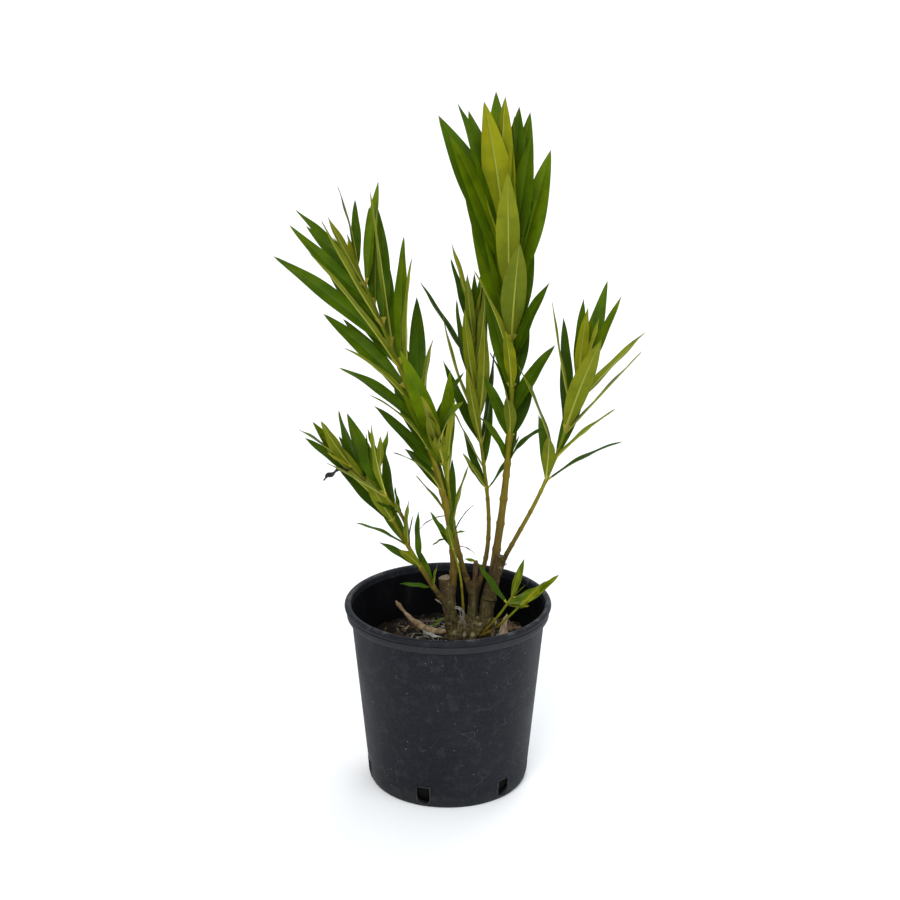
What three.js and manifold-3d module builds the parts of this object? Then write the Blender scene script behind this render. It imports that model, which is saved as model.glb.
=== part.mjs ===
// A young oleander, 735 mm tall with its pot: seven leafy shoots on three pruned stumps that rise
// from one swollen root crown, with a thin sprig and two sprouts at its foot, in a nursery pot of
// black plastic filled with soil.
//
// Millimetres, +Z up. The origin is the centre of the pot's flat underside.
// Each limb is a cylinder bent along a curve. Each mass of leaves is a stem with whorls of three
// leaves, spaced and turned by a seeded rule, so the plant grows the same way every time.

import * as THREE from 'three';
import { mergeVertices } from 'three/addons/utils/BufferGeometryUtils.js';
import Module from 'manifold-3d';

const wasm = await Module();
wasm.setup();

// ---------------------------------------------------------------- driving dimensions

const GAP = 0.3; // clearance between two pieces that touch

const POT = {
  height: 203,
  baseRadius: 82,
  heelRadius: 86.8, // where the rounded heel meets the straight wall
  heelHeight: 18,
  shoulderRadius: 103, // the straight wall's top, under the lip
  shoulderHeight: 187,
  lipRadius: 110,
  lipHeight: 197, // height of the lip's widest ring
  mouthRadius: 103.5,
  wall: 2,
  floor: 2.5,
  segments: 32,
};

const SLOT = {
  count: 6,
  firstAngle: -107.5, // degrees from +X
  width: 14,
  bottom: 4,
  top: 24,
  cornerRadius: 6,
};

const GROUND = {
  level: 163, // the flat seat under the root crown
  seatCentre: [22, -1],
  seatRadius: 27,
  fall: 17, // how far the soil drops from the seat to the pot's wall
  lump: 1.6,
};

const CROWN = {
  centre: [22, -1],
  halfWidth: 21,
  halfDepth: 15,
  height: 20,
  lump: 0.09, // height of its knobs, as a share of its radius
  seed: 7,
};

// The three stumps: a path from inside the crown to a flat pruned top, the radius at foot, middle
// and top, and the short dead pegs on it, each as [share of the path, direction, length, radius].
const STUMPS = [
  {
    name: 'stump_left',
    path: [[5, -8, 166], [4, -8, 190], [0, -9, 208], [-3, -10, 233]],
    radii: [6.4, 7.2, 7.0],
    seed: 3,
    pegs: [
      [0.57, [-9, -1, 8], 19, 1.8],
      [0.44, [-10, -1, 8], 20, 1.1],
    ],
  },
  {
    name: 'stump_middle',
    path: [[26, 2, 166], [26, 3, 190], [28, 4, 205], [28, 4, 219]],
    radii: [5.2, 5.0, 6.4],
    seed: 11,
    pegs: [[0.85, [1, -3, 24], 35, 2.5]],
  },
  {
    name: 'stump_right',
    path: [[38, -1, 166], [42, 0, 200], [46, 0, 222], [57, 2, 252]],
    radii: [7.4, 7.3, 6.2],
    seed: 19,
    pegs: [[0.8, [8, -1, 7], 15, 0.9]],
  },
];

// The shoots. path: from the seat in its host to the growing tip. radii: stem at the seat and the
// tip. leafyFrom: share of the path where the first whorl grows. crowding: over 1, whorls draw
// together towards the tip. turn: degrees the first whorl is turned. lean: degrees a leaf stands
// away from the stem, lowest and highest whorl. twist: the most degrees that a leaf turns on its
// stalk to face the light. arch: degrees a leaf curves over, lowest and highest whorl. lengths:
// leaf length at the lowest whorl, at the longest and at the top. slimness: width over length. A
// fork starts on another shoot's stem and is part of its mass of leaves.
const SHOOTS = [
  {
    name: 'tall',
    host: 'stump_right',
    path: [[45, -1, 212], [65, 36, 344], [72, -20, 419], [58, 1, 591]],
    radii: [4.6, 1.6],
    leafyFrom: 0.4,
    whorls: 12,
    crowding: 1.6,
    turn: 0,
    lean: [14, 14],
    leanVaries: 7,
    twist: 81,
    arch: [37, -6],
    lengths: [60, 157, 136],
    longestAt: 0.73,
    slimness: 0.193,
    seed: 851,
  },
  {
    name: 'middle',
    host: 'stump_middle',
    path: [[31, 6, 213], [62, 29, 295], [25, 41, 340], [28, 47, 494]],
    radii: [2.6, 1.2],
    leafyFrom: 0.46,
    whorls: 8,
    crowding: 1.24,
    turn: 41,
    lean: [37, 12],
    leanVaries: 12,
    twist: 11,
    arch: [-15, -11],
    lengths: [64, 118, 83],
    longestAt: 0.46,
    slimness: 0.131,
    seed: 205,
  },
  {
    name: 'right',
    host: 'stump_right',
    path: [[56, 1, 243], [74, -41, 300], [117, -8, 350], [134, -27, 464]],
    radii: [2.6, 1.2],
    leafyFrom: 0.56,
    whorls: 6,
    crowding: 1.31,
    turn: 39,
    lean: [34, 17],
    leanVaries: 6,
    twist: 12,
    arch: [26, -13],
    lengths: [84, 144, 66],
    longestAt: 0.56,
    slimness: 0.138,
    seed: 873,
  },
  {
    name: 'left',
    host: 'stump_left',
    path: [[2, -6, 206], [23, -33, 303], [-44, -1, 449], [-93, 43, 554]],
    radii: [4.2, 1.5],
    leafyFrom: 0.37,
    whorls: 12,
    crowding: 1.0,
    turn: 42,
    lean: [20, 28],
    leanVaries: 4,
    twist: 75,
    arch: [45, -11],
    lengths: [77, 154, 82],
    longestAt: 0.6,
    slimness: 0.135,
    seed: 229,
  },
  {
    name: 'centre',
    host: 'stump_middle',
    path: [[25, 3, 212], [2, 11, 266], [5, 46, 309], [-8, -23, 378]],
    radii: [3.2, 1.3],
    leafyFrom: 0.47,
    whorls: 5,
    crowding: 1.01,
    turn: 5,
    lean: [25, 4],
    leanVaries: 10,
    twist: 27,
    arch: [12, 15],
    lengths: [76, 126, 126],
    longestAt: 0.31,
    slimness: 0.137,
    seed: 930,
  },
  {
    name: 'low_left',
    host: 'stump_left',
    path: [[-3, -11, 205], [-27, -41, 245], [-61, -15, 319], [-98, -39, 366]],
    radii: [2.8, 1.2],
    leafyFrom: 0.16,
    whorls: 7,
    crowding: 1.07,
    turn: 118,
    lean: [35, 6],
    leanVaries: 6,
    twist: 22,
    arch: [16, 2],
    lengths: [42, 82, 78],
    longestAt: 0.5,
    slimness: 0.181,
    seed: 260,
  },
  {
    name: 'low_left_fork',
    forkOf: 'low_left',
    forksAt: 0.45,
    path: [[-41, -27, 274], [-42, -30, 333], [-68, -57, 319], [-69, -47, 367]],
    radii: [2.0, 1.1],
    leafyFrom: 0.33,
    whorls: 3,
    crowding: 1.19,
    turn: 71,
    lean: [21, 22],
    leanVaries: 10,
    twist: 15,
    arch: [19, 3],
    lengths: [31, 102, 41],
    longestAt: 0.53,
    slimness: 0.171,
    seed: 902,
  },
  {
    name: 'sprig',
    host: 'root_crown',
    path: [[20, -7, 170], [12, -14, 202], [21, -14, 232], [0, -26, 284]],
    radii: [1.6, 0.9],
    leafyFrom: 0.89,
    whorls: 2,
    crowding: 1.4,
    turn: 65,
    lean: [15, 60],
    leanVaries: 9,
    twist: 0,
    arch: [8, 40],
    lengths: [54, 26, 24],
    longestAt: 0.8,
    slimness: 0.14,
    seed: 925,
  },
  {
    name: 'foot_upper',
    host: 'root_crown',
    path: [[35, -10, 167], [46, -16, 181], [51, -26, 191], [67, -20, 214]],
    radii: [1.9, 1.1],
    leafyFrom: 0.9,
    whorls: 2,
    crowding: 1.4,
    turn: 76,
    lean: [75, 40],
    leanVaries: 4,
    twist: 40,
    arch: [-16, -24],
    lengths: [55, 50, 44],
    longestAt: 0.65,
    slimness: 0.18,
    seed: 202,
  },
  {
    name: 'foot_lower',
    host: 'root_crown',
    path: [[32, -13, 167], [51, -26, 177], [62, -38, 199], [81, -29, 214]],
    radii: [1.6, 1.0],
    leafyFrom: 0.86,
    whorls: 2,
    crowding: 1.4,
    turn: 111,
    lean: [15, 11],
    leanVaries: 11,
    twist: 8,
    arch: [-25, -22],
    lengths: [32, 36, 48],
    longestAt: 0.64,
    slimness: 0.162,
    seed: 435,
  },
];

const LEAF = {
  perWhorl: 3,
  stations: 3,
  petiole: 0.1, // half width of its foot, as a share of the widest half
  cup: 0.18, // how far the edges rise above the midrib, as a share of the half width
  thickness: 0.016, // at the midrib's foot, as a share of the length
  thinning: 0.4, // how much of that is lost towards the tip
  sunk: 0.3, // depth of its root, as a share of the stem's radius from the stem's middle
};

const BARE_NECK = 8; // length of a mass's stem below its lowest whorl

// ---------------------------------------------------------------- seeded chance

const fraction = (value) => value - Math.floor(value);

/** A number from 0 to 1 that depends only on the seed and the count. */
const chance = (seed, count) => fraction(Math.sin(seed * 12.9898 + count * 78.233) * 43758.5453);

/** A number from -1 to 1, likewise. */
const spread = (seed, count) => 2 * chance(seed, count) - 1;

const { lerp, degToRad, smoothstep } = THREE.MathUtils;

// ---------------------------------------------------------------- closed solids

/** Makes a solid of a closed geometry: shared corners are merged and empty triangles dropped. */
function solidOf(geometry) {
  geometry.deleteAttribute('normal');
  geometry.deleteAttribute('uv');
  const merged = mergeVertices(geometry);
  const corners = merged.index.array;
  const triangles = [];
  for (let i = 0; i < corners.length; i += 3) {
    const [a, b, c] = corners.slice(i, i + 3);
    if (a !== b && b !== c && c !== a) triangles.push(a, b, c);
  }
  return new wasm.Manifold(new wasm.Mesh({
    numProp: 3,
    vertProperties: new Float32Array(merged.attributes.position.array),
    triVerts: new Uint32Array(triangles),
  }));
}

/** Joins solids into one body. Sealed hollows are filled and loose scraps are dropped. */
function fused(solids) {
  const bodies = solids.reduce((whole, solid) => whole.add(solid)).decompose();
  return bodies.reduce((largest, body) => (body.volume() > largest.volume() ? body : largest));
}

function meshOf(name, solid, material) {
  const { numProp, vertProperties, triVerts } = solid.getMesh();
  const geometry = new THREE.BufferGeometry();
  geometry.setAttribute('position', new THREE.BufferAttribute(vertProperties, numProp));
  geometry.setIndex(new THREE.BufferAttribute(triVerts, 1));
  geometry.computeVertexNormals();
  const mesh = new THREE.Mesh(geometry, material);
  mesh.name = name;
  return mesh;
}

// ---------------------------------------------------------------- limbs

const BACK = new THREE.Vector3(0, 1, 0);

function curveOf(path) {
  return new THREE.CubicBezierCurve3(...path.map((point) => new THREE.Vector3(...point)));
}

/** Millimetres of curve for each unit of its parameter t. */
function speedAt(curve, t) {
  const step = 0.001;
  return curve.getPoint(t + step).distanceTo(curve.getPoint(t)) / step;
}

/** The curve's direction at t, and two directions square to it. */
function frameAt(curve, t) {
  const step = 0.001;
  const along = curve.getPoint(t + step).sub(curve.getPoint(t - step)).normalize();
  const back = BACK.clone().addScaledVector(along, -BACK.dot(along)).normalize();
  const side = new THREE.Vector3().crossVectors(along, back);
  return { along, back, side };
}

/**
 * A limb: a cylinder bent along a curve from t = from to t = to, with flat ends. radius(t, angle)
 * gives its skin. grown makes it that much larger all over, for the socket it sits in.
 */
function limb(curve, { from, to, radius, sides, steps, grown = 0 }) {
  const start = from - grown / speedAt(curve, from);
  const end = to + grown / speedAt(curve, to);
  const geometry = new THREE.CylinderGeometry(1, 1, 1, sides, steps);
  const points = geometry.attributes.position;
  for (let i = 0; i < points.count; i++) {
    const t = lerp(start, end, points.getY(i) + 0.5);
    const angle = Math.atan2(points.getX(i), points.getZ(i));
    const onSkin = Math.hypot(points.getX(i), points.getZ(i));
    const reach = onSkin * (radius(t, angle) + grown / Math.cos(Math.PI / sides));
    const { back, side } = frameAt(curve, t);
    const point = curve.getPoint(t)
      .addScaledVector(back, reach * Math.cos(angle))
      .addScaledVector(side, reach * Math.sin(angle));
    points.setXYZ(i, point.x, point.y, point.z);
  }
  return solidOf(geometry);
}

const stemRadius = (shoot) => (t) => lerp(shoot.radii[0], shoot.radii[1], t);

// ---------------------------------------------------------------- leaves

/** Where most light comes from: leaves turn on their stalks to face it. */
const LIGHT = new THREE.Vector3(0, -0.75, 0.66);

/** Where the shoot's leaves grow: one record for each leaf of each whorl. */
function leavesOf(shoot, curve) {
  const leaves = [];
  for (let whorl = 0; whorl < shoot.whorls; whorl++) {
    const share = shoot.whorls > 1 ? whorl / (shoot.whorls - 1) : 0;
    const t = lerp(shoot.leafyFrom, 1, 1 - (1 - share) ** shoot.crowding);
    const { along, back, side } = frameAt(curve, Math.min(t, 0.998));
    for (let turn = 0; turn < LEAF.perWhorl; turn++) {
      const count = whorl * LEAF.perWhorl + turn;
      const varied = (quality) => spread(shoot.seed, 10 * count + quality);
      const step = 360 / LEAF.perWhorl;
      const around = degToRad(shoot.turn + whorl * (step / 2) + turn * step + 14 * varied(1));
      const lean = degToRad(lerp(...shoot.lean, share) + shoot.leanVaries * varied(2));
      const arch = degToRad(lerp(...shoot.arch, share) + 12 * varied(4)) || 0.001;
      const [lowest, longest, top] = shoot.lengths;
      const typical = share < shoot.longestAt
        ? lerp(lowest, longest, share / shoot.longestAt)
        : lerp(longest, top, (share - shoot.longestAt) / (1 - shoot.longestAt));
      const length = typical * (1 + 0.12 * varied(3));
      const outward = back.clone().multiplyScalar(Math.cos(around))
        .addScaledVector(side, Math.sin(around));
      const heading = along.clone().multiplyScalar(Math.cos(lean))
        .addScaledVector(outward, Math.sin(lean));
      const face = along.clone().multiplyScalar(Math.sin(lean))
        .addScaledVector(outward, -Math.cos(lean));
      const across = new THREE.Vector3().crossVectors(heading, face);
      const roll = degToRad(18 * varied(5) - shoot.twist * across.dot(LIGHT));
      leaves.push({
        root: curve.getPoint(t).addScaledVector(outward, LEAF.sunk * stemRadius(shoot)(t)),
        heading,
        face: face.clone().multiplyScalar(Math.cos(roll)).addScaledVector(across, -Math.sin(roll)),
        across: across.multiplyScalar(Math.cos(roll)).addScaledVector(face, Math.sin(roll)),
        length,
        halfWidth: length * shoot.slimness * (1 + 0.12 * varied(6)) / 2,
        arch,
        sweep: 0.06 * varied(7),
      });
    }
  }
  return leaves;
}

/** A leaf's half width at a share of its length, over its widest half width. */
function outline(share) {
  if (share === 0) return LEAF.petiole;
  return Math.max(Math.sin(Math.PI * share ** 0.92), 0) ** 0.9;
}

/** A leaf: a four-sided cone whose sides are the two edges, the midrib and the keel under it. */
function leafSolid(leaf, grown = 0) {
  const { root, heading, face, across, length, halfWidth, arch, sweep } = leaf;
  const geometry = new THREE.CylinderGeometry(0, 1, 1, 4, LEAF.stations);
  const points = geometry.attributes.position;
  for (let i = 0; i < points.count; i++) {
    const share = points.getY(i) + 0.5;
    const angle = Math.atan2(points.getX(i), points.getZ(i));
    const onSkin = Math.hypot(points.getX(i), points.getZ(i)) > 0.001 ? 1 : 0;
    const width = share < 1 ? halfWidth * outline(share) + grown : 0;
    const keel = share < 1 ? LEAF.thickness * (1 - LEAF.thinning * share) : 0;
    const thickness = length * keel + 2 * grown;
    const toEdge = onSkin * Math.sin(angle) * width;
    const toFace = onSkin * Math.cos(angle) * thickness / 2;
    const raised = Math.abs(toEdge) * LEAF.cup;
    const up = face.clone().multiplyScalar(Math.cos(arch * share))
      .addScaledVector(heading, Math.sin(arch * share));
    const point = root.clone()
      .addScaledVector(heading, length * Math.sin(arch * share) / arch)
      .addScaledVector(face, -length * (1 - Math.cos(arch * share)) / arch)
      .addScaledVector(across, length * sweep * share * share + toEdge)
      .addScaledVector(up, raised + toFace);
    points.setXYZ(i, point.x, point.y, point.z);
  }
  return solidOf(geometry);
}

// ---------------------------------------------------------------- pot

/** A full turn of a closed outline of [radius, height] points about the upright axis. */
function turned(profile, segments) {
  const points = profile.map(([radius, height]) => new THREE.Vector2(radius, height));
  return new THREE.LatheGeometry(points, segments).rotateX(Math.PI / 2);
}

/** The pot's inner radius at a height on its wall. */
function innerRadius(height) {
  const share = (height - POT.heelHeight) / (POT.shoulderHeight - POT.heelHeight);
  return lerp(POT.heelRadius, POT.shoulderRadius, share) - POT.wall;
}

function slotCutter(index) {
  const { width, bottom, top, cornerRadius: corner } = SLOT;
  const shape = new THREE.Shape();
  shape.moveTo(-width / 2, top);
  shape.lineTo(-width / 2, bottom + corner);
  shape.absarc(-width / 2 + corner, bottom + corner, corner, Math.PI, 1.5 * Math.PI);
  shape.absarc(width / 2 - corner, bottom + corner, corner, 1.5 * Math.PI, 2 * Math.PI);
  shape.lineTo(width / 2, top);
  const depth = 30;
  const geometry = new THREE.ExtrudeGeometry(shape, { depth, bevelEnabled: false, curveSegments: 3 });
  geometry.rotateX(Math.PI / 2).rotateZ(Math.PI / 2);
  geometry.translate(POT.baseRadius - depth / 2, 0, 0);
  geometry.rotateZ(degToRad(SLOT.firstAngle + (index * 360) / SLOT.count));
  return solidOf(geometry);
}

/** The pot: a thin tapering wall with a rounded heel, a flat floor and a thick rolled lip. */
function makePot() {
  const { height, baseRadius, heelRadius, heelHeight, shoulderRadius, shoulderHeight } = POT;
  const { lipRadius, lipHeight, mouthRadius, wall, floor } = POT;
  const profile = [
    [0, 0],
    [baseRadius, 0],
    [lerp(baseRadius, heelRadius, 0.42), 0.17 * heelHeight],
    [lerp(baseRadius, heelRadius, 0.67), 0.45 * heelHeight],
    [heelRadius, heelHeight],
    [shoulderRadius, shoulderHeight],
    [lerp(shoulderRadius, lipRadius, 0.5), shoulderHeight + 1.5],
    [lipRadius - 1, lerp(shoulderHeight, lipHeight, 0.5)],
    [lipRadius, lipHeight],
    [lipRadius - 1, lerp(lipHeight, height, 0.6)],
    [lerp(mouthRadius, lipRadius, 0.55), height],
    [lerp(mouthRadius, lipRadius, 0.25), height],
    [mouthRadius, height - 2],
    [mouthRadius - 1, shoulderHeight + 2],
    [shoulderRadius - wall, shoulderHeight],
    [heelRadius - wall, heelHeight],
    [baseRadius - wall / 2, floor + 2],
    [baseRadius - 2 * wall, floor],
    [0, floor],
  ];
  let pot = solidOf(turned(profile, POT.segments));
  for (let index = 0; index < SLOT.count; index++) pot = pot.subtract(slotCutter(index));
  return pot;
}

// ---------------------------------------------------------------- soil

/** Height of the soil's surface: flat under the crown, then falling away to the wall. */
function groundHeight(x, y) {
  const distance = Math.hypot(x - GROUND.seatCentre[0], y - GROUND.seatCentre[1]);
  const away = smoothstep(distance, GROUND.seatRadius, POT.shoulderRadius);
  const clearOfSeat = smoothstep(distance, GROUND.seatRadius, 1.5 * GROUND.seatRadius);
  const lumps = Math.sin(x * 0.19) * Math.cos(y * 0.23 + 1) * clearOfSeat;
  return GROUND.level - GROUND.fall * away + GROUND.lump * lumps;
}

/** The soil: it fills the pot from its floor to a low mound, GAP clear of the plastic. */
function makeSoil() {
  const { baseRadius, heelRadius, heelHeight, wall, floor } = POT;
  const ringHeight = GROUND.level - GROUND.fall;
  const surfaceRings = [0.85, 0.7, 0.56, 0.42, 0.28, 0.12, 0];
  const edge = innerRadius(ringHeight) - GAP;
  const profile = [
    [0, floor + GAP],
    [baseRadius - 2 * wall - GAP, floor + GAP],
    [heelRadius - wall - GAP, heelHeight],
    [edge, ringHeight],
    ...surfaceRings.map((share) => [edge * share, ringHeight]),
  ];
  const geometry = turned(profile, POT.segments);
  const points = geometry.attributes.position;
  for (let i = 0; i < points.count; i++) {
    if (points.getZ(i) < ringHeight - GAP) continue;
    points.setZ(i, groundHeight(points.getX(i), points.getY(i)));
  }
  return solidOf(geometry);
}

// ---------------------------------------------------------------- root crown and stumps

/** The crown's skin: an oval with knobs, flared at the ground and domed over the top. */
function crownRadius(t, angle) {
  const oval = 1 / Math.hypot(Math.cos(angle) / CROWN.halfDepth, Math.sin(angle) / CROWN.halfWidth);
  const dome = Math.sqrt(Math.max(1 - 0.72 * t * t, 0));
  const knobs = [3, 5, 8].reduce((sum, lobes, index) => {
    const phase = 6 * chance(CROWN.seed, index) + 3 * t;
    return sum + Math.sin(lobes * angle + phase) / (index + 1.5);
  }, 0);
  return oval * dome * (1 + CROWN.lump * knobs * (1 - t));
}

function makeCrown() {
  const [x, y] = CROWN.centre;
  const foot = GROUND.level + GAP;
  const heights = [0, 1 / 3, 2 / 3, 1].map((share) => foot + share * CROWN.height);
  const curve = curveOf(heights.map((height) => [x, y, height]));
  return limb(curve, { from: 0, to: 1, radius: crownRadius, sides: 16, steps: 4 });
}

function stumpRadius(stump) {
  const [foot, middle, top] = stump.radii;
  return (t, angle) => {
    const even = t < 0.5 ? lerp(foot, middle, 2 * t) : lerp(middle, top, 2 * t - 1);
    const phase = 6 * chance(stump.seed, 1);
    return even * (1 + 0.05 * Math.sin(3 * angle + phase) + 0.05 * Math.sin(9 * t + phase));
  };
}

/** A dead peg: a short tapering stick with its root in the stump. */
function makePeg(curve, [share, direction, length, radius]) {
  const root = curve.getPoint(share);
  const heading = new THREE.Vector3(...direction).normalize();
  const reach = [0, 1 / 3, 2 / 3, 1].map((part) => {
    return root.clone().addScaledVector(heading, part * length).toArray();
  });
  const taper = (t) => radius * (1 - 0.35 * t);
  return limb(curveOf(reach), { from: 0, to: 1, radius: taper, sides: 6, steps: 1 });
}

function stumpLimb(stump, grown) {
  const curve = curveOf(stump.path);
  return limb(curve, { from: 0, to: 1, radius: stumpRadius(stump), sides: 8, steps: 5, grown });
}

function makeStump(stump) {
  const curve = curveOf(stump.path);
  return fused([stumpLimb(stump), ...stump.pegs.map((peg) => makePeg(curve, peg))]);
}

// ---------------------------------------------------------------- boughs and masses of leaves

/** The shoot's curve. A fork's starts on its parent's. */
function shootCurve(shoot) {
  const curve = curveOf(shoot.path);
  if (!shoot.forkOf) return curve;
  const parent = SHOOTS.find(({ name }) => name === shoot.forkOf);
  curve.v0.copy(curveOf(parent.path).getPoint(shoot.forksAt));
  return curve;
}

const isSprout = (shoot) => shoot.host === 'root_crown';

/** Share of the path where the mass of leaves takes over from the bough. */
function neckAt(shoot) {
  if (isSprout(shoot) || shoot.forkOf) return 0;
  const curve = shootCurve(shoot);
  return shoot.leafyFrom - BARE_NECK / speedAt(curve, shoot.leafyFrom);
}

function boughLimb(shoot, grown = 0) {
  const radius = stemRadius(shoot);
  return limb(shootCurve(shoot), { from: 0, to: neckAt(shoot), radius, sides: 8, steps: 4, grown });
}

function massStem(shoot, grown = 0) {
  const curve = shootCurve(shoot);
  const neck = neckAt(shoot);
  const from = neck > 0 ? neck + GAP / speedAt(curve, neck) : 0;
  const steps = Math.max(shoot.whorls, 5);
  return limb(curve, { from, to: 1, radius: stemRadius(shoot), sides: 6, steps, grown });
}

/** The shoot's leaves that touch none of the given solids. */
function clearLeaves(shoot, taken) {
  return leavesOf(shoot, shootCurve(shoot))
    .filter((leaf) => leafSolid(leaf, GAP).intersect(taken).isEmpty())
    .map((leaf) => leafSolid(leaf));
}

// ---------------------------------------------------------------- assembly

const plain = (color, roughness) => new THREE.MeshStandardMaterial({ color, roughness, metalness: 0 });

const MATERIALS = {
  plastic: plain('#26282d', 0.55),
  soil: plain('#33291f', 0.95),
  bark: plain('#6b5f42', 0.85),
  youngBark: plain('#6c6a35', 0.7),
  leaf: plain('#52701f', 0.5),
};

const pot = makePot();
const soil = makeSoil();
let crown = makeCrown();
const stumps = new Map(STUMPS.map((stump) => [stump.name, makeStump(stump)]));
const masses = SHOOTS.filter((shoot) => !shoot.forkOf);
const boughShoots = masses.filter((shoot) => !isSprout(shoot));

// Sockets: each limb sits in a hole of its own shape in the piece that carries it, GAP clear.
for (const stump of STUMPS) crown = crown.subtract(stumpLimb(stump, GAP));
for (const shoot of masses.filter(isSprout)) crown = crown.subtract(massStem(shoot, GAP));
crown = fused([crown]);
for (const shoot of boughShoots) {
  stumps.set(shoot.host, fused([stumps.get(shoot.host).subtract(boughLimb(shoot, GAP))]));
}

const boughs = new Map(boughShoots.map((shoot) => [`bough_${shoot.name}`, boughLimb(shoot)]));
const limbs = [pot, soil, crown, ...stumps.values(), ...boughs.values()];

const stems = new Map();
for (const shoot of masses) {
  const forks = SHOOTS.filter((other) => other.forkOf === shoot.name);
  stems.set(shoot.name, fused([shoot, ...forks].map((part) => massStem(part))));
}

const foliage = new Map();
for (const shoot of masses) {
  const otherStems = masses.filter((other) => other !== shoot).map(({ name }) => stems.get(name));
  const taken = [...limbs, ...otherStems, ...foliage.values()].reduce((a, b) => a.add(b));
  const forks = SHOOTS.filter((other) => other.forkOf === shoot.name);
  const leaves = [shoot, ...forks].flatMap((part) => clearLeaves(part, taken));
  foliage.set(`foliage_${shoot.name}`, fused([stems.get(shoot.name), ...leaves]));
}

const oleander = new THREE.Group();
oleander.name = 'potted_oleander';
oleander.add(meshOf('pot', pot, MATERIALS.plastic));
oleander.add(meshOf('soil', soil, MATERIALS.soil));
oleander.add(meshOf('root_crown', crown, MATERIALS.bark));
for (const [name, solid] of stumps) oleander.add(meshOf(name, solid, MATERIALS.bark));
for (const [name, solid] of boughs) oleander.add(meshOf(name, solid, MATERIALS.youngBark));
for (const [name, solid] of foliage) oleander.add(meshOf(name, solid, MATERIALS.leaf));

export default oleander;
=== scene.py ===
# A young oleander in its nursery pot: six leafy shoots, one of them forked, on three pruned stumps,
# and a sprig and two low sprouts on the root crown. In metres, +Z up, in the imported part's frame.
import math
import random

import bpy
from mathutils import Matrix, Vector, kdtree, noise


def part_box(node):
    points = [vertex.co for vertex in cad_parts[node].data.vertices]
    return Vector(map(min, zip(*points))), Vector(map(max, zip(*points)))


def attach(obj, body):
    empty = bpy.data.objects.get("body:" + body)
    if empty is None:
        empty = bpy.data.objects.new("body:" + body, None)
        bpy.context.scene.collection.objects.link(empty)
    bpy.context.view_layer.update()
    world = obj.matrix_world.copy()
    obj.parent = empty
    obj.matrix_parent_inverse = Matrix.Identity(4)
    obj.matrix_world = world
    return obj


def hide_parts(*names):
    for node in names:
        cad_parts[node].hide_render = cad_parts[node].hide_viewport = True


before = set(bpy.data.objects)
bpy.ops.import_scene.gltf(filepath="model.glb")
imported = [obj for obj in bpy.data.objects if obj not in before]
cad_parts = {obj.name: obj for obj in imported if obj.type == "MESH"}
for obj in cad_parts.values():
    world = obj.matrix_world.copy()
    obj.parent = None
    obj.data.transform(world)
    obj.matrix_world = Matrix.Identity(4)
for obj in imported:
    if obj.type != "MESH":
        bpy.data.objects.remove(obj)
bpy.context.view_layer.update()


# ---------------------------------------------------------------------------------------------
# The pot: a round nursery pot of thin black plastic, blow-moulded in one piece, with a rolled
# lip, a rounded heel, a flat floor that it stands on and six drainage slots low on its wall.

MM = 0.001
pot_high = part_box("pot")[1]
POT_HEIGHT = pot_high.z
LIP_RADIUS = pot_high.x
LIP_FOOT = POT_HEIGHT - 15.5 * MM
BEAD_RADIUS = 3.6 * MM
SHOULDER_RADIUS = 103 * MM
SHOULDER_HEIGHT = 187 * MM
HEEL_RADIUS = 86.8 * MM
HEEL_HEIGHT = 18 * MM
BASE_RADIUS = 82 * MM
WALL = 2 * MM
FLOOR = 2.5 * MM
SLOT_COUNT = 6
SLOT_FIRST_ANGLE = -107.5
SLOT_WIDTH = 14 * MM
SLOT_BOTTOM = 4 * MM
SLOT_TOP = 24 * MM
SLOT_CORNER = 6 * MM
CUT_FROM = 60 * MM
CUT_TO = 120 * MM
SPLASH_HEIGHT = 60 * MM
SLOT_MIDDLE = (SLOT_TOP + SLOT_BOTTOM) / 2
SLOT_ARC_STEPS = 6
HEEL_STEPS = 8
WALL_STEPS = 12
BEAD_STEPS = 16
POT_SEGMENTS = 192


class Pile:
    """Points and faces gathered for one joined piece. A face's kind is its material's place."""

    def __init__(self):
        self.points = []
        self.faces = []
        self.kinds = []
        self.uvs = []

    def add(self, points, faces, kind=0, uvs=None):
        first = len(self.points)
        self.points.extend(points)
        self.faces.extend(tuple(first + corner for corner in face) for face in faces)
        self.kinds.extend(kind if isinstance(kind, list) else [kind] * len(faces))
        self.uvs.extend(uvs or [(0, 0)] * len(points))

    def piece(self, name, finishes=(), sharp_over=None):
        mesh = bpy.data.meshes.new(name)
        mesh.from_pydata([tuple(point) for point in self.points], [], self.faces)
        for finish in finishes:
            mesh.materials.append(finish.material)
        mesh.polygons.foreach_set("material_index", self.kinds)
        mesh.polygons.foreach_set("use_smooth", [True] * len(self.faces))
        if any(uv != (0, 0) for uv in self.uvs):
            layer = mesh.uv_layers.new(name="along")
            corners = [vertex for face in self.faces for vertex in face]
            layer.data.foreach_set("uv", [value for vertex in corners for value in self.uvs[vertex]])
        mesh.update()
        if sharp_over:
            mesh.set_sharp_from_angle(angle=math.radians(sharp_over))
        made = bpy.data.objects.new(name, mesh)
        bpy.context.scene.collection.objects.link(made)
        return made


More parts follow.
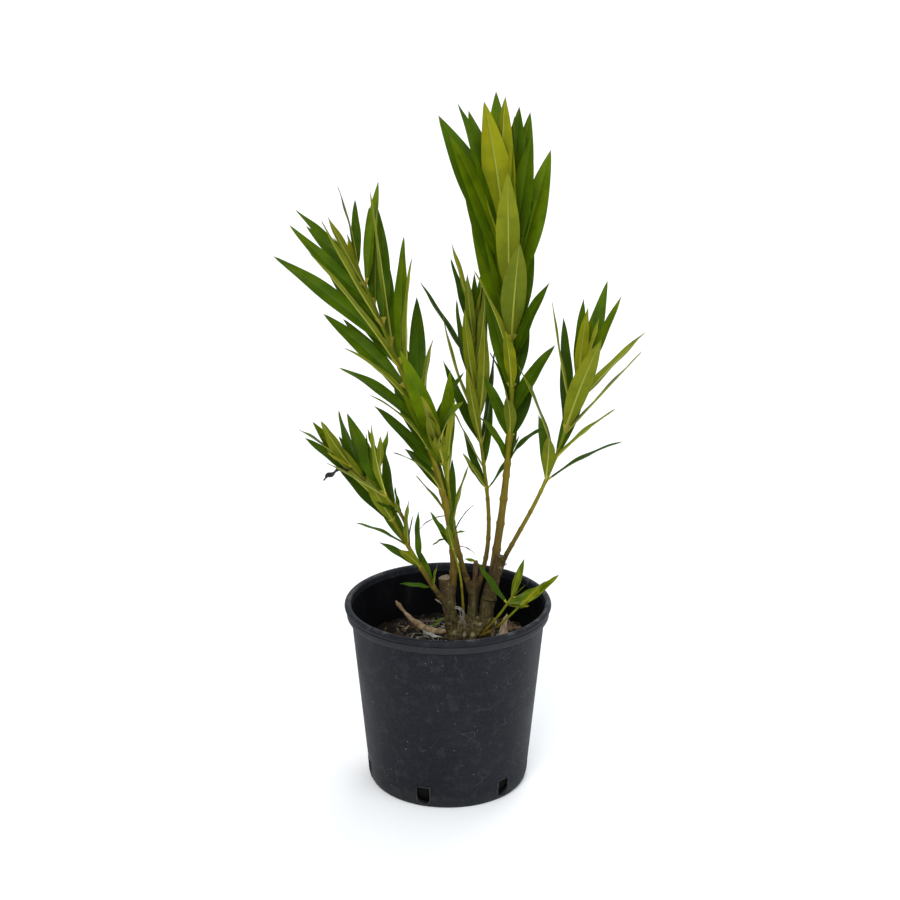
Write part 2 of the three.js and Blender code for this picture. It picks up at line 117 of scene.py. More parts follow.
class Finish:
    """A material as it is built up: a shader, and the noise, ramps and bumps that feed it."""

    def __init__(self, name, roughness, specular=0.5, ior=1.45):
        self.material = bpy.data.materials.new(name)
        self.material.use_nodes = True
        self.nodes = self.material.node_tree.nodes
        self.links = self.material.node_tree.links
        self.shader = self.nodes["Principled BSDF"]
        self.shader.inputs["Roughness"].default_value = roughness
        self.shader.inputs["Specular IOR Level"].default_value = specular
        self.shader.inputs["IOR"].default_value = ior
        self.place = self.nodes.new("ShaderNodeTexCoord")
        self.skin = None

    def stretched(self, stretch):
        mapping = self.nodes.new("ShaderNodeMapping")
        mapping.inputs["Scale"].default_value = stretch
        self.links.new(self.place.outputs["Object"], mapping.inputs["Vector"])
        return mapping.outputs["Vector"]

    def noise(self, scale, detail=4.0, stretch=(1, 1, 1), rough=0.55):
        cloud = self.nodes.new("ShaderNodeTexNoise")
        cloud.inputs["Scale"].default_value = scale
        cloud.inputs["Detail"].default_value = detail
        cloud.inputs["Roughness"].default_value = rough
        self.links.new(self.stretched(stretch), cloud.inputs["Vector"])
        return cloud.outputs["Fac"]

    def blotches(self, scale, low, high, detail=4.0, stretch=(1, 1, 1), rough=0.55):
        """Soft blotches, from 0 where the noise is low to 1 where it is high."""
        return self.between(self.noise(scale, detail, stretch, rough), low, high)

    def dots(self, scale, low, high, feature="F1"):
        """Dots, or the lines between cells, from 0 at the low distance to 1 at the high one."""
        cell = self.nodes.new("ShaderNodeTexVoronoi")
        cell.feature = feature
        cell.inputs["Scale"].default_value = scale
        self.links.new(self.stretched((1, 1, 1)), cell.inputs["Vector"])
        return self.between(cell.outputs["Distance"], low, high)

    def part(self, place, axis):
        parts = self.nodes.new("ShaderNodeSeparateXYZ")
        self.links.new(self.place.outputs[place], parts.inputs["Vector"])
        return parts.outputs[axis]

    def height(self, low, high):
        """From 0 at the low height to 1 at the high one."""
        return self.between(self.part("Object", "Z"), low, high)

    def along_part(self):
        """How far along its stem or leaf a place is, from 0 at the foot to 1 at the tip."""
        return self.part("UV", "Y")

    def from_midrib(self):
        """How far across its leaf a place is, from 0 on the midrib to 0.5 at either edge."""
        return self.maths("ABSOLUTE", self.maths("SUBTRACT", self.part("UV", "X"), 0.5), 0)

    def side_veins(self, number, slant):
        """Fine veins that leave the midrib in pairs and slant on towards the tip."""
        phase = self.maths("SUBTRACT", self.both(self.along_part(), number),
                           self.both(self.from_midrib(), slant))
        wave = self.maths("SINE", self.both(phase, 2 * math.pi), 0)
        return self.between(wave, 0.55, 1.0)

    def between(self, factor, low, high):
        span = self.nodes.new("ShaderNodeMapRange")
        span.interpolation_type = "SMOOTHSTEP"
        span.inputs["From Min"].default_value = low
        span.inputs["From Max"].default_value = high
        self.links.new(factor, span.inputs["Value"])
        return span.outputs["Result"]

    def maths(self, operation, first, second):
        node = self.nodes.new("ShaderNodeMath")
        node.operation = operation
        for socket, value in zip(node.inputs, (first, second)):
            if isinstance(value, (int, float)):
                socket.default_value = value
            else:
                self.links.new(value, socket)
        return node.outputs["Value"]

    def both(self, first, second):
        """Two masks, or a mask and a number, multiplied."""
        return self.maths("MULTIPLY", first, second)

    def colour(self, source):
        self.skin = source
        self.links.new(source, self.shader.inputs["Base Color"])

    def graded(self, factor, stops):
        """Colours the skin along a ramp. Each stop is a place on the ramp and its colour."""
        node = self.nodes.new("ShaderNodeValToRGB")
        while len(node.color_ramp.elements) < len(stops):
            node.color_ramp.elements.new(0.5)
        for element, (where, colour) in zip(node.color_ramp.elements, stops):
            element.position = where
            element.color = (*colour, 1)
        self.links.new(factor, node.inputs["Fac"])
        self.colour(node.outputs["Color"])

    def blended(self, mask, below, above):
        """Colours the skin with one colour, or the skin so far, below and another where the mask is."""
        node = self.nodes.new("ShaderNodeMix")
        node.data_type = "RGBA"
        self.links.new(mask, node.inputs["Factor"])
        colours = [socket for socket in node.inputs if socket.type == "RGBA"]
        for socket, value in zip(colours, (below, above)):
            if isinstance(value, tuple):
                socket.default_value = (*value, 1)
            else:
                self.links.new(value, socket)
        self.colour([output for output in node.outputs if output.type == "RGBA"][0])

    def over(self, mask, colour, amount=1):
        """Lays a colour over the skin so far, as strongly as the mask times the amount."""
        self.blended(mask if amount == 1 else self.both(mask, amount), self.skin, colour)

    def rough(self, factor, low, high):
        span = self.nodes.new("ShaderNodeMapRange")
        span.inputs["To Min"].default_value = low
        span.inputs["To Max"].default_value = high
        self.links.new(factor, span.inputs["Value"])
        self.links.new(span.outputs["Result"], self.shader.inputs["Roughness"])

    def bump(self, height, strength, distance):
        node = self.nodes.new("ShaderNodeBump")
        node.inputs["Strength"].default_value = strength
        node.inputs["Distance"].default_value = distance
        before = self.shader.inputs["Normal"]
        if before.is_linked:
            self.links.new(before.links[0].from_socket, node.inputs["Normal"])
        self.links.new(height, node.inputs["Height"])
        self.links.new(node.outputs["Normal"], self.shader.inputs["Normal"])


def grained(name, roughness, specular, grain, stops, bump, detail=4, stretch=(1, 1, 1)):
    """A plain finish: one grain gives both its colours and its relief, (strength, depth)."""
    finish = Finish(name, roughness, specular)
    cloud = finish.noise(grain, detail, stretch)
    finish.graded(cloud, stops)
    finish.bump(cloud, *bump)
    return finish


def lerp(first, last, share):
    return first + (last - first) * share


def wall_radius(height):
    """The pot's outer radius on its heel and straight wall."""
    if height >= HEEL_HEIGHT:
        share = (height - HEEL_HEIGHT) / (SHOULDER_HEIGHT - HEEL_HEIGHT)
        return lerp(HEEL_RADIUS, SHOULDER_RADIUS, share)
    angle = math.acos(1 - height / HEEL_HEIGHT)
    return lerp(BASE_RADIUS, HEEL_RADIUS, math.sin(angle))


def pot_outline():
    """The pot's section from the middle of its underside, round the lip, to its floor."""
    outline = [(0, 0), (BASE_RADIUS * 0.5, 0), (BASE_RADIUS - 1 * MM, 0)]
    for step in range(1, HEEL_STEPS + 1):
        height = HEEL_HEIGHT * (1 - math.cos(math.radians(90 * step / HEEL_STEPS)))
        outline.append((wall_radius(height), height))
    for step in range(1, WALL_STEPS + 1):
        height = lerp(HEEL_HEIGHT, SHOULDER_HEIGHT, step / WALL_STEPS)
        outline.append((wall_radius(height), height))
    # The lip: a collar that flares a little, a crease, and a round bead on top.
    for inward, up in ((3.9, 0), (2.9, 0.3), (2.4, 1.2), (1.7, 7.0), (1.9, 7.5), (2.7, 8.1)):
        outline.append((LIP_RADIUS - inward * MM, LIP_FOOT + up * MM))
    for step in range(BEAD_STEPS + 1):
        angle = math.radians(-50 + 230 * step / BEAD_STEPS)
        radius = LIP_RADIUS - BEAD_RADIUS + BEAD_RADIUS * math.cos(angle)
        outline.append((radius, POT_HEIGHT - BEAD_RADIUS + BEAD_RADIUS * math.sin(angle)))
    outline.append((LIP_RADIUS - 2 * BEAD_RADIUS - 0.4 * MM, POT_HEIGHT - 8 * MM))
    inside = [(wall_radius(h * MM) - WALL, h * MM) for h in (180, 140, 100, 60, 30, 12)]
    floor = [(BASE_RADIUS - 2 * WALL, FLOOR + 1.2 * MM), (BASE_RADIUS - 4 * WALL, FLOOR)]
    return outline + inside + floor + [(BASE_RADIUS * 0.4, FLOOR), (0, FLOOR)]


def joined_rings(rings, sides, first=0, inward=False):
    """The faces that join rings of points, each to the next. inward turns them to look the other way."""
    faces = []
    for low in range(first, first + (rings - 1) * sides, sides):
        for corner in range(sides):
            beside = (corner + 1) % sides
            face = (low + corner, low + beside, low + sides + beside, low + sides + corner)
            faces.append((face[0], face[3], face[2], face[1]) if inward else face)
    return faces


def fan(first, sides, point, inward=False):
    """The faces that close a ring of points at one more point."""
    faces = [(first + corner, first + (corner + 1) % sides, point) for corner in range(sides)]
    return [face[::-1] for face in faces] if inward else faces


def turned(outline, segments):
    """Turns a section once round the upright axis. Its two ends lie on the axis."""
    pile = Pile()
    points = [Vector((0, 0, outline[0][1]))]
    for radius, height in outline[1:-1]:
        for segment in range(segments):
            angle = 2 * math.pi * segment / segments
            points.append(Vector((radius * math.cos(angle), radius * math.sin(angle), height)))
    points.append(Vector((0, 0, outline[-1][1])))
    rings = len(outline) - 2
    last_ring = 1 + (rings - 1) * segments
    pile.add(points, fan(1, segments, 0, inward=True) + joined_rings(rings, segments, 1)
             + fan(last_ring, segments, len(points) - 1))
    return pile


def slot_outline():
    """The slot's outline as (across, height), from its top left corner round its foot."""
    half = SLOT_WIDTH / 2
    points = [(-half, SLOT_TOP), (-half, lerp(SLOT_TOP, SLOT_BOTTOM + SLOT_CORNER, 0.5))]
    for side, start in ((-1, 180), (1, 270)):
        for step in range(SLOT_ARC_STEPS + 1):
            angle = math.radians(start + 90 * step / SLOT_ARC_STEPS)
            across = side * (half - SLOT_CORNER) + SLOT_CORNER * math.cos(angle)
            points.append((across, SLOT_BOTTOM + SLOT_CORNER + SLOT_CORNER * math.sin(angle)))
    return points + [(half, lerp(SLOT_TOP, SLOT_BOTTOM + SLOT_CORNER, 0.5)), (half, SLOT_TOP)]


def slot_directions():
    """For each slot, the way that it faces and the way across it."""
    for index in range(SLOT_COUNT):
        angle = math.radians(SLOT_FIRST_ANGLE + 360 * index / SLOT_COUNT)
        outward = Vector((math.cos(angle), math.sin(angle), 0))
        yield outward, Vector((-outward.y, outward.x, 0))


def apply_modifiers(piece):
    """Gives the piece the mesh that its modifiers make, and takes them off."""
    depsgraph = bpy.context.evaluated_depsgraph_get()
    mesh = bpy.data.meshes.new_from_object(piece.evaluated_get(depsgraph))
    piece.modifiers.clear()
    piece.data = mesh


cutters = Pile()
for outward, across in slot_directions():
    ring = slot_outline()
    near = [outward * CUT_FROM + across * x + Vector((0, 0, z)) for x, z in ring]
    far = [outward * CUT_TO + across * x + Vector((0, 0, z)) for x, z in ring]
    count = len(ring)
    caps = [tuple(reversed(range(count))), tuple(range(count, 2 * count))]
    cutters.add(near + far, joined_rings(2, count) + caps)
slot_cutter = cutters.piece("slot_cutter", sharp_over=30)

# The wall's plastic, from below: cloudy black, a chalky grain, smudges, streaks, curved scratches,
# pale specks, a paler collar under the lip (some wear, and painted light where it faces the lamps), a
# painted highlight along the bead on top and dried splashes at the foot.
black_plastic = Finish("black_plastic", roughness=0.5, specular=0.13)
cloudy = black_plastic.blotches(16, 0.35, 0.75, detail=6)
black_plastic.blended(cloudy, (0.0048, 0.0055, 0.0085), (0.0092, 0.0105, 0.0156))
grain = black_plastic.blotches(420, 0.42, 0.70, detail=8, rough=0.75)
black_plastic.over(grain, (0.021, 0.022, 0.026), 0.5)
smudges = black_plastic.blotches(85, 0.50, 0.66, detail=9, rough=0.72)
black_plastic.over(smudges, (0.026, 0.027, 0.031), 0.40)
streaks = black_plastic.blotches(90, 0.56, 0.78, detail=6, stretch=(2.2, 2.2, 0.5), rough=0.7)
black_plastic.over(streaks, (0.024, 0.025, 0.028), 0.5)
curved = black_plastic.dots(75, 0.022, 0.006, feature="DISTANCE_TO_EDGE")
scratches = black_plastic.both(curved, black_plastic.blotches(48, 0.57, 0.66, detail=3))
black_plastic.over(scratches, (0.062, 0.066, 0.072), 0.55)
specks = black_plastic.both(black_plastic.dots(190, 0.085, 0.045),
                            black_plastic.blotches(55, 0.56, 0.64, detail=2))
black_plastic.over(specks, (0.30, 0.30, 0.28))
# A paler band round the collar under the lip: some wear, and painted light where the upright collar faces
# the lamps.
pale_collar = black_plastic.both(black_plastic.height(LIP_FOOT - 0.3 * MM, LIP_FOOT + 1 * MM),
                            black_plastic.height(LIP_FOOT + 9 * MM, LIP_FOOT + 6.5 * MM))
black_plastic.over(pale_collar, (0.026, 0.026, 0.029), 0.55)
# A painted highlight along the top of the bead, broken up by the smudges.
bead_highlight = black_plastic.both(black_plastic.height(POT_HEIGHT - 2.5 * MM, POT_HEIGHT - 0.2 * MM), smudges)
black_plastic.over(bead_highlight, (0.055, 0.056, 0.052))
ragged = black_plastic.both(black_plastic.noise(30, detail=6), 0.45)
level = black_plastic.maths("ADD", black_plastic.height(0, SPLASH_HEIGHT), ragged)
dust = black_plastic.blotches(55, 0.28, 0.66, detail=7, rough=0.65)
splash = black_plastic.both(black_plastic.between(level, 0.44, 0.34), dust)
black_plastic.over(splash, (0.027, 0.031, 0.027), 0.35)
black_plastic.rough(cloudy, 0.50, 0.66)
black_plastic.bump(black_plastic.noise(22, detail=3), 0.25, 0.0015)
black_plastic.bump(grain, 0.20, 0.0003)

# The pot's inner wall: the same black plastic darkened to near black, as painted shade inside the pot.
shaded_plastic = Finish("shaded_plastic", roughness=0.7, specular=0.05)
shaded_plastic.graded(shaded_plastic.noise(60, detail=6, stretch=(1, 1, 0.4)), [
    (0.35, (0.0018, 0.0019, 0.0024)), (0.62, (0.0034, 0.0035, 0.0042)), (0.80, (0.010, 0.010, 0.010))])
shaded_plastic.bump(shaded_plastic.noise(240), 0.2, 0.0004)

nursery_pot = turned(pot_outline(), POT_SEGMENTS).piece(
    "nursery_pot", [black_plastic, shaded_plastic], sharp_over=50)
for face in nursery_pot.data.polygons:
    below_lip = FLOOR * 0.5 < face.center.z < LIP_FOOT + 4.65 * MM
    if below_lip and math.hypot(face.center.x, face.center.y) < wall_radius(face.center.z) - WALL * 0.6:
        face.material_index = 1
cut = nursery_pot.modifiers.new("slots", "BOOLEAN")
cut.operation = "DIFFERENCE"
cut.object = slot_cutter
cut.solver = "EXACT"
apply_modifiers(nursery_pot)
bpy.data.objects.remove(slot_cutter)
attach(nursery_pot, "root")
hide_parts("pot")

# A thin moulded frame stands a little proud round each slot.
FRAME_WIDTH = 0.9 * MM
FRAME_PROUD = 0.45 * MM
FRAME_SUNK = -0.4 * MM
frames = Pile()
for outward, across in slot_directions():
    ring = slot_outline()
    points = []
    for x, z in ring:
        growth = 1 + FRAME_WIDTH / math.hypot(x, z - SLOT_MIDDLE)
        for scale, proud in ((1, FRAME_SUNK), (1, FRAME_PROUD), (growth, FRAME_PROUD),
                             (growth * 1.05, FRAME_SUNK)):
            height = max(lerp(SLOT_MIDDLE, z, scale), 0.6 * MM)
            side = x * scale
            radius = math.sqrt(wall_radius(height)**2 - side**2) + proud
            points.append(outward * radius + across * side + Vector((0, 0, height)))
    closed = joined_rings(len(ring) + 1, 4)
    frames.add(points, [tuple(corner % len(points) for corner in face) for face in closed])
frame_plastic = grained("frame_plastic", 0.6, 0.15, 260, [
    (0.35, (0.018, 0.019, 0.019)), (0.62, (0.045, 0.048, 0.044)), (0.80, (0.090, 0.092, 0.082))],
    bump=(0.3, 0.0003), detail=5)
slot_frames = frames.piece("slot_frames", [frame_plastic], sharp_over=40)
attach(slot_frames, "root")


# ---------------------------------------------------------------------------------------------
# The potting soil: dark peat with crumbs of bark, heaped under the root crown and fallen away to
# the pot's wall. It fills the pot down to its floor and shows again through the drainage slots.

GROUND_LEVEL = 163 * MM
SEAT_CENTRE = Vector((22, -1, 0)) * MM
SEAT_RADIUS = 27 * MM
GROUND_FALL = 17 * MM
GROUND_LUMP = 1.6 * MM
CRUMB = 1.5 * MM
SOIL_CLEARANCE = 0.3 * MM
SOIL_RINGS = 120
SOIL_SEGMENTS = 300


def smoothstep(value, low, high):
    share = min(max((value - low) / (high - low), 0), 1)
    return share * share * (3 - 2 * share)


def ground_height(x, y):
    """The soil's surface before its crumbs: a seat under the crown, then a slope to the wall."""
    far = math.hypot(x - SEAT_CENTRE.x, y - SEAT_CENTRE.y)
    away = smoothstep(far, SEAT_RADIUS, SHOULDER_RADIUS)
    lumps = math.sin(x / MM * 0.19) * math.cos(y / MM * 0.23 + 1)
    lumps *= smoothstep(far, SEAT_RADIUS, SEAT_RADIUS * 1.5)
    return GROUND_LEVEL - GROUND_FALL * away + GROUND_LUMP * lumps


def crumbled(x, y):
    """The soil's surface with its clods and crumbs."""
    place = Vector((x, y, 0))
    clods = noise.noise(place * 70) * 1.6 * MM + noise.noise(place * 170) * 1.1 * MM
    near = noise.voronoi(place * 260)[0][0]
    fine = noise.voronoi(place * 610 + Vector((7, 3, 0)))[0][0]
    return ground_height(x, y) + clods + CRUMB * (0.45 - near) + 0.5 * CRUMB * (0.45 - fine)


soil_edge = wall_radius(GROUND_LEVEL - GROUND_FALL) - WALL - SOIL_CLEARANCE
soil_top = [(soil_edge * (1 - ring / SOIL_RINGS), GROUND_LEVEL) for ring in range(SOIL_RINGS + 1)]
soil_wall = [(wall_radius(h * MM) - WALL - SOIL_CLEARANCE, h * MM) for h in (18, 60, 100, 138)]
soil_foot = [(0, FLOOR + SOIL_CLEARANCE), (BASE_RADIUS - 2 * WALL, FLOOR + SOIL_CLEARANCE)]
soil_pile = turned(soil_foot + soil_wall + soil_top, SOIL_SEGMENTS)
for point in soil_pile.points:
    if point.z > GROUND_LEVEL - 1 * MM:
        point.z = crumbled(point.x, point.y)

# The peat, from below: dark earth with brown clods, straw fibres, sparse pale grit, and painted shade
# deep down: near black where it shows through the slots.
peat = Finish("peat", roughness=0.95, specular=0.1)
peat.graded(peat.noise(55, detail=7), [(0.32, (0.003, 0.0027, 0.0024)), (0.55, (0.010, 0.008, 0.006)),
                                       (0.72, (0.032, 0.025, 0.016)), (0.86, (0.070, 0.055, 0.036))])
peat.over(peat.blotches(330, 0.62, 0.72, detail=3, stretch=(1, 0.3, 1)), (0.13, 0.098, 0.062), 0.7)
grit = peat.both(peat.dots(420, 0.12, 0.06), peat.blotches(90, 0.58, 0.66, detail=2))
peat.over(grit, (0.34, 0.32, 0.28))
# Painted shade: the soil turns near black deep in the pot, where it shows through the slots.
peat.over(peat.height(0.100, 0.050), (0.0035, 0.0030, 0.0028))
peat.bump(peat.noise(900, detail=5), 0.8, 0.0006)

potting_soil = soil_pile.piece("potting_soil", [peat])
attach(potting_soil, "root")
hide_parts("soil")


# ---------------------------------------------------------------------------------------------
# The old wood: a knobbly swollen crown at the soil with three pruned stumps, grown together, in
# grooved olive-brown bark. Two stumps end in a flat saw cut and the middle one in a rounded head
# under its red peg. Each shoot leaves its stump in a collar.

CROWN = {"centre": (22, -1), "half_width": 21, "half_depth": 15, "height": 20, "lump": 0.09,
         "knobs": 64, "knob_sizes": (1.7, 4.2), "knob_seed": 31, "seed": 7}
# The flares that run out from the crown and under the soil: the way each heads, in degrees, and
# how far out and how high its spine lies.
ROOT_DIRECTIONS = (200, 285, 340, 80, 130)
ROOT_PROFILE = ((6, 9), (17, 7), (25, 2), (34, -6))
ROOT_RADII = (5.2, 1.6)
COLLAR_LENGTH = 22
WOOD_GRAIN = 0.65 * MM
STUMPS = [
    {"name": "stump_left", "path": [[5, -8, 166], [4, -8, 190], [0, -9, 208], [-3, -10, 233]],
     "radii": [6.4, 7.2, 7.0], "seed": 3, "cut": "pale",
     "pegs": [(0.57, (-9, -1, 8), 19, 1.8), (0.44, (-10, -1, 8), 20, 1.1)]},
    {"name": "stump_middle", "path": [[26, 2, 166], [26, 3, 190], [28, 4, 205], [28, 4, 219]],
     "radii": [5.2, 5.0, 6.4], "seed": 11, "cut": None, "pegs": [(0.85, (1, -3, 24), 35, 2.5)]},
    {"name": "stump_right", "path": [[38, -1, 166], [42, 0, 200], [46, 0, 222], [57, 2, 252]],
     "radii": [7.4, 7.3, 6.2], "seed": 19, "cut": "weathered", "pegs": [(0.8, (8, -1, 7), 15, 0.9)]},
]
# The shoots, in millimetres and degrees. path: from the seat in the host to the growing tip.
# radii: the stem at the seat and at the tip. leafy_from: the share of the path where the first
# whorl grows. crowding: over 1, whorls draw together towards the tip. turn: how far round the
# first whorl starts. lean: a leaf's angle from the stem at the lowest and the highest whorl.
# twist: the most that a leaf turns on its stalk to face the light. arch: how far a leaf curves
# over, lowest and highest whorl. lengths: a leaf at the lowest whorl, at the longest
# and at the top. slimness: a leaf's width over its length. A fork starts on another shoot's stem.
SHOOTS = [
    {"name": "tall", "host": "stump_right", "radii": [4.6, 1.6],
     "path": [[45, -1, 212], [65, 36, 344], [72, -20, 419], [58, 1, 591]],
     "leafy_from": 0.4, "whorls": 12, "crowding": 1.6, "turn": 0, "lean": [14, 14],
     "lean_varies": 7, "twist": 81, "arch": [37, -6], "lengths": [60, 157, 136],
     "longest_at": 0.73, "slimness": 0.193, "seed": 851},
    {"name": "middle", "host": "stump_middle", "radii": [2.6, 1.2],
     "path": [[31, 6, 213], [62, 29, 295], [25, 41, 340], [28, 47, 494]],
     "leafy_from": 0.46, "whorls": 8, "crowding": 1.24, "turn": 41, "lean": [37, 12],
     "lean_varies": 12, "twist": 11, "arch": [-15, -11], "lengths": [64, 118, 83],
     "longest_at": 0.46, "slimness": 0.131, "seed": 205},
    {"name": "right", "host": "stump_right", "radii": [2.6, 1.2],
     "path": [[56, 1, 243], [74, -41, 300], [117, -8, 350], [134, -27, 464]],
     "leafy_from": 0.56, "whorls": 6, "crowding": 1.31, "turn": 39, "lean": [34, 17],
     "lean_varies": 6, "twist": 12, "arch": [26, -13], "lengths": [84, 144, 66],
     "longest_at": 0.56, "slimness": 0.138, "seed": 873},
    {"name": "left", "host": "stump_left", "radii": [4.2, 1.5],
     "path": [[2, -6, 206], [23, -33, 303], [-44, -1, 449], [-93, 43, 554]],
     "leafy_from": 0.37, "whorls": 12, "crowding": 1.0, "turn": 42, "lean": [20, 28],
     "lean_varies": 4, "twist": 75, "arch": [45, -11], "lengths": [77, 154, 82],
     "longest_at": 0.6, "slimness": 0.135, "seed": 229},
    {"name": "centre", "host": "stump_middle", "radii": [3.2, 1.3],
     "path": [[25, 3, 212], [2, 11, 266], [5, 46, 309], [-8, -23, 378]],
     "leafy_from": 0.47, "whorls": 5, "crowding": 1.01, "turn": 5, "lean": [25, 4],
     "lean_varies": 10, "twist": 27, "arch": [12, 15], "lengths": [76, 126, 126],
     "longest_at": 0.31, "slimness": 0.137, "seed": 930},
    {"name": "low_left", "host": "stump_left", "radii": [2.8, 1.2],
     "path": [[-3, -11, 205], [-27, -41, 245], [-61, -15, 319], [-98, -39, 366]],
     "leafy_from": 0.16, "whorls": 7, "crowding": 1.07, "turn": 118, "lean": [35, 6],
     "lean_varies": 6, "twist": 22, "arch": [16, 2], "lengths": [42, 82, 78],
     "longest_at": 0.5, "slimness": 0.181, "seed": 260},
    {"name": "low_left_fork", "fork_of": "low_left", "forks_at": 0.45, "radii": [2.0, 1.1],
     "path": [[-41, -27, 274], [-42, -30, 333], [-68, -57, 319], [-69, -47, 367]],
     "leafy_from": 0.33, "whorls": 3, "crowding": 1.19, "turn": 71, "lean": [21, 22],
     "lean_varies": 10, "twist": 15, "arch": [19, 3], "lengths": [31, 102, 41],
     "longest_at": 0.53, "slimness": 0.171, "seed": 902},
    {"name": "sprig", "host": "root_crown", "radii": [1.6, 0.9],
     "path": [[20, -7, 170], [12, -14, 202], [21, -14, 232], [0, -26, 284]],
     "leafy_from": 0.89, "whorls": 2, "crowding": 1.4, "turn": 65, "lean": [15, 60],
     "lean_varies": 9, "twist": 0, "arch": [8, 40], "lengths": [54, 26, 24],
     "longest_at": 0.8, "slimness": 0.14, "seed": 925},
    {"name": "foot_upper", "host": "root_crown", "radii": [1.9, 1.1],
     "path": [[35, -10, 167], [46, -16, 181], [51, -26, 191], [67, -20, 214]],
     "leafy_from": 0.9, "whorls": 2, "crowding": 1.4, "turn": 76, "lean": [75, 40],
     "lean_varies": 4, "twist": 40, "arch": [-16, -24], "lengths": [55, 50, 44],
     "longest_at": 0.65, "slimness": 0.18, "seed": 202},
    {"name": "foot_lower", "host": "root_crown", "radii": [1.6, 1.0],
     "path": [[32, -13, 167], [51, -26, 177], [62, -38, 199], [81, -29, 214]],
     "leafy_from": 0.86, "whorls": 2, "crowding": 1.4, "turn": 111, "lean": [15, 11],
     "lean_varies": 11, "twist": 8, "arch": [-25, -22], "lengths": [32, 36, 48],
     "longest_at": 0.64, "slimness": 0.162, "seed": 435},
]

BACK = Vector((0, 1, 0))


def chance(seed, count):
    """A number from 0 to 1 that depends only on the seed and the count."""
    value = math.sin(seed * 12.9898 + count * 78.233) * 43758.5453
    return value - math.floor(value)


def spread(seed, count):
    return 2 * chance(seed, count) - 1


class Curve:
    """A smooth path through the air from its first point to its last, t running from 0 to 1."""

    def __init__(self, path):
        self.knots = [Vector(point) * MM for point in path]

    def at(self, t):
        first, second, third, fourth = self.knots
        rest = 1 - t
        return (first * rest**3 + second * (3 * rest**2 * t)
                + third * (3 * rest * t**2) + fourth * t**3)

    def frame(self, t):
        """The curve's direction at t, and two directions square to it."""
        along = (self.at(t + 0.001) - self.at(t - 0.001)).normalized()
        back = (BACK - along * BACK.dot(along)).normalized()
        return along, back, along.cross(back)

    def outward(self, t, angle):
        """The way out from the curve at an angle round it."""
        along, back, side = self.frame(t)
        return back * math.cos(angle) + side * math.sin(angle)

    def speed(self, t):
        return (self.at(t + 0.001) - self.at(t)).length / 0.001


def shoot_curve(shoot):
    path = list(shoot["path"])
    if "fork_of" in shoot:
        parent = next(other for other in SHOOTS if other["name"] == shoot["fork_of"])
        path[0] = Curve(parent["path"]).at(shoot["forks_at"]) / MM
    return Curve(path)


def families():
    """Each shoot that leaves the old wood, with itself and the forks that start on its stem."""
    for shoot in SHOOTS:
        if "fork_of" not in shoot:
            yield shoot, [shoot] + [other for other in SHOOTS if other.get("fork_of") == shoot["name"]]


def add_limb(pile, curve, start, end, radius, sides, steps, kind=0, pointed=False):
    """A closed limb along a curve, its faces looking inwards. radius(t, angle) gives its skin in metres."""
    points = []
    uvs = []
    for step in range(steps + 1):
        t = lerp(start, end, step / steps)
        along, back, side = curve.frame(t)
        for corner in range(sides):
            angle = 2 * math.pi * corner / sides
            reach = radius(t, angle)
            points.append(curve.at(t) + back * (reach * math.cos(angle)) + side * (reach * math.sin(angle)))
            uvs.append((corner / sides, t))
    faces = joined_rings(steps + 1, sides, inward=True) + [tuple(range(sides))]
    last = steps * sides
    if pointed:
        faces += fan(last, sides, len(points), inward=True)
        points.append(curve.at(end) + curve.frame(end)[0] * radius(end, 0))
        uvs.append((0, end))
    else:
        faces.append(tuple(reversed(range(last, last + sides))))
    pile.add(points, faces, kind, uvs)


def add_ball(pile, centre, radii, sides=10, rings=6):
    """A closed ball or oval with its long way upright."""
    turns = [math.pi * ring / rings for ring in range(rings + 1)]
    ball = turned([(math.sin(turn), -math.cos(turn)) for turn in turns], sides)
    pile.add([centre + Vector(radii) * point for point in ball.points], ball.faces)


def crown_radius(t, angle):
    oval = 1 / math.hypot(math.cos(angle) / CROWN["half_depth"], math.sin(angle) / CROWN["half_width"])
    dome = math.sqrt(max(1 - 0.72 * t * t, 0))
    knobs = sum(math.sin(lobes * angle + 6 * chance(CROWN["seed"], index) + 3 * t) / (index + 1.5)
                for index, lobes in enumerate((3, 5, 8)))
    return oval * dome * (1 + CROWN["lump"] * knobs * (1 - t)) * MM


def stump_radius(stump):
    foot, middle, top = stump["radii"]
    phase = 6 * chance(stump["seed"], 1)

    def radius(t, angle):
        even = lerp(foot, middle, 2 * t) if t < 0.5 else lerp(middle, top, 2 * t - 1)
        return even * (1 + 0.05 * math.sin(3 * angle + phase) + 0.05 * math.sin(9 * t + phase)) * MM

    return radius


wood = Pile()
crown_foot = Vector((*CROWN["centre"], GROUND_LEVEL / MM))
crown_curve = Curve([crown_foot + Vector((0, 0, third * CROWN["height"] / 3)) for third in range(4)])
add_limb(wood, crown_curve, -0.3, 0.98, crown_radius, sides=40, steps=14)
for knob in range(CROWN["knobs"]):
    up, around, depth, bulk, squash = (chance(CROWN["knob_seed"] + index, knob) for index in range(5))
    t = 0.95 * up**1.3
    angle = 2 * math.pi * around
    size = lerp(*CROWN["knob_sizes"], bulk) * MM
    out = crown_radius(t, angle) * lerp(0.9, 1.0, depth)
    centre = crown_curve.at(t) + crown_curve.outward(t, angle) * out
    add_ball(wood, centre, (size, size, size * lerp(0.6, 1.0, squash)))
for direction in ROOT_DIRECTIONS:
    way = Vector((math.cos(math.radians(direction)), math.sin(math.radians(direction)), 0))
    path = [crown_foot + way * out + Vector((0, 0, up)) for out, up in ROOT_PROFILE]
    add_limb(wood, Curve(path), 0, 1, lambda t, _: lerp(*ROOT_RADII, t) * MM, sides=12, steps=10)
for stump in STUMPS:
    add_limb(wood, Curve(stump["path"]), -0.05, 1, stump_radius(stump), sides=28, steps=40)
    if not stump["cut"]:
        top = stump["radii"][2] * MM
        add_ball(wood, Curve(stump["path"]).at(0.99), (top, top, top * 0.7), sides=20, rings=12)
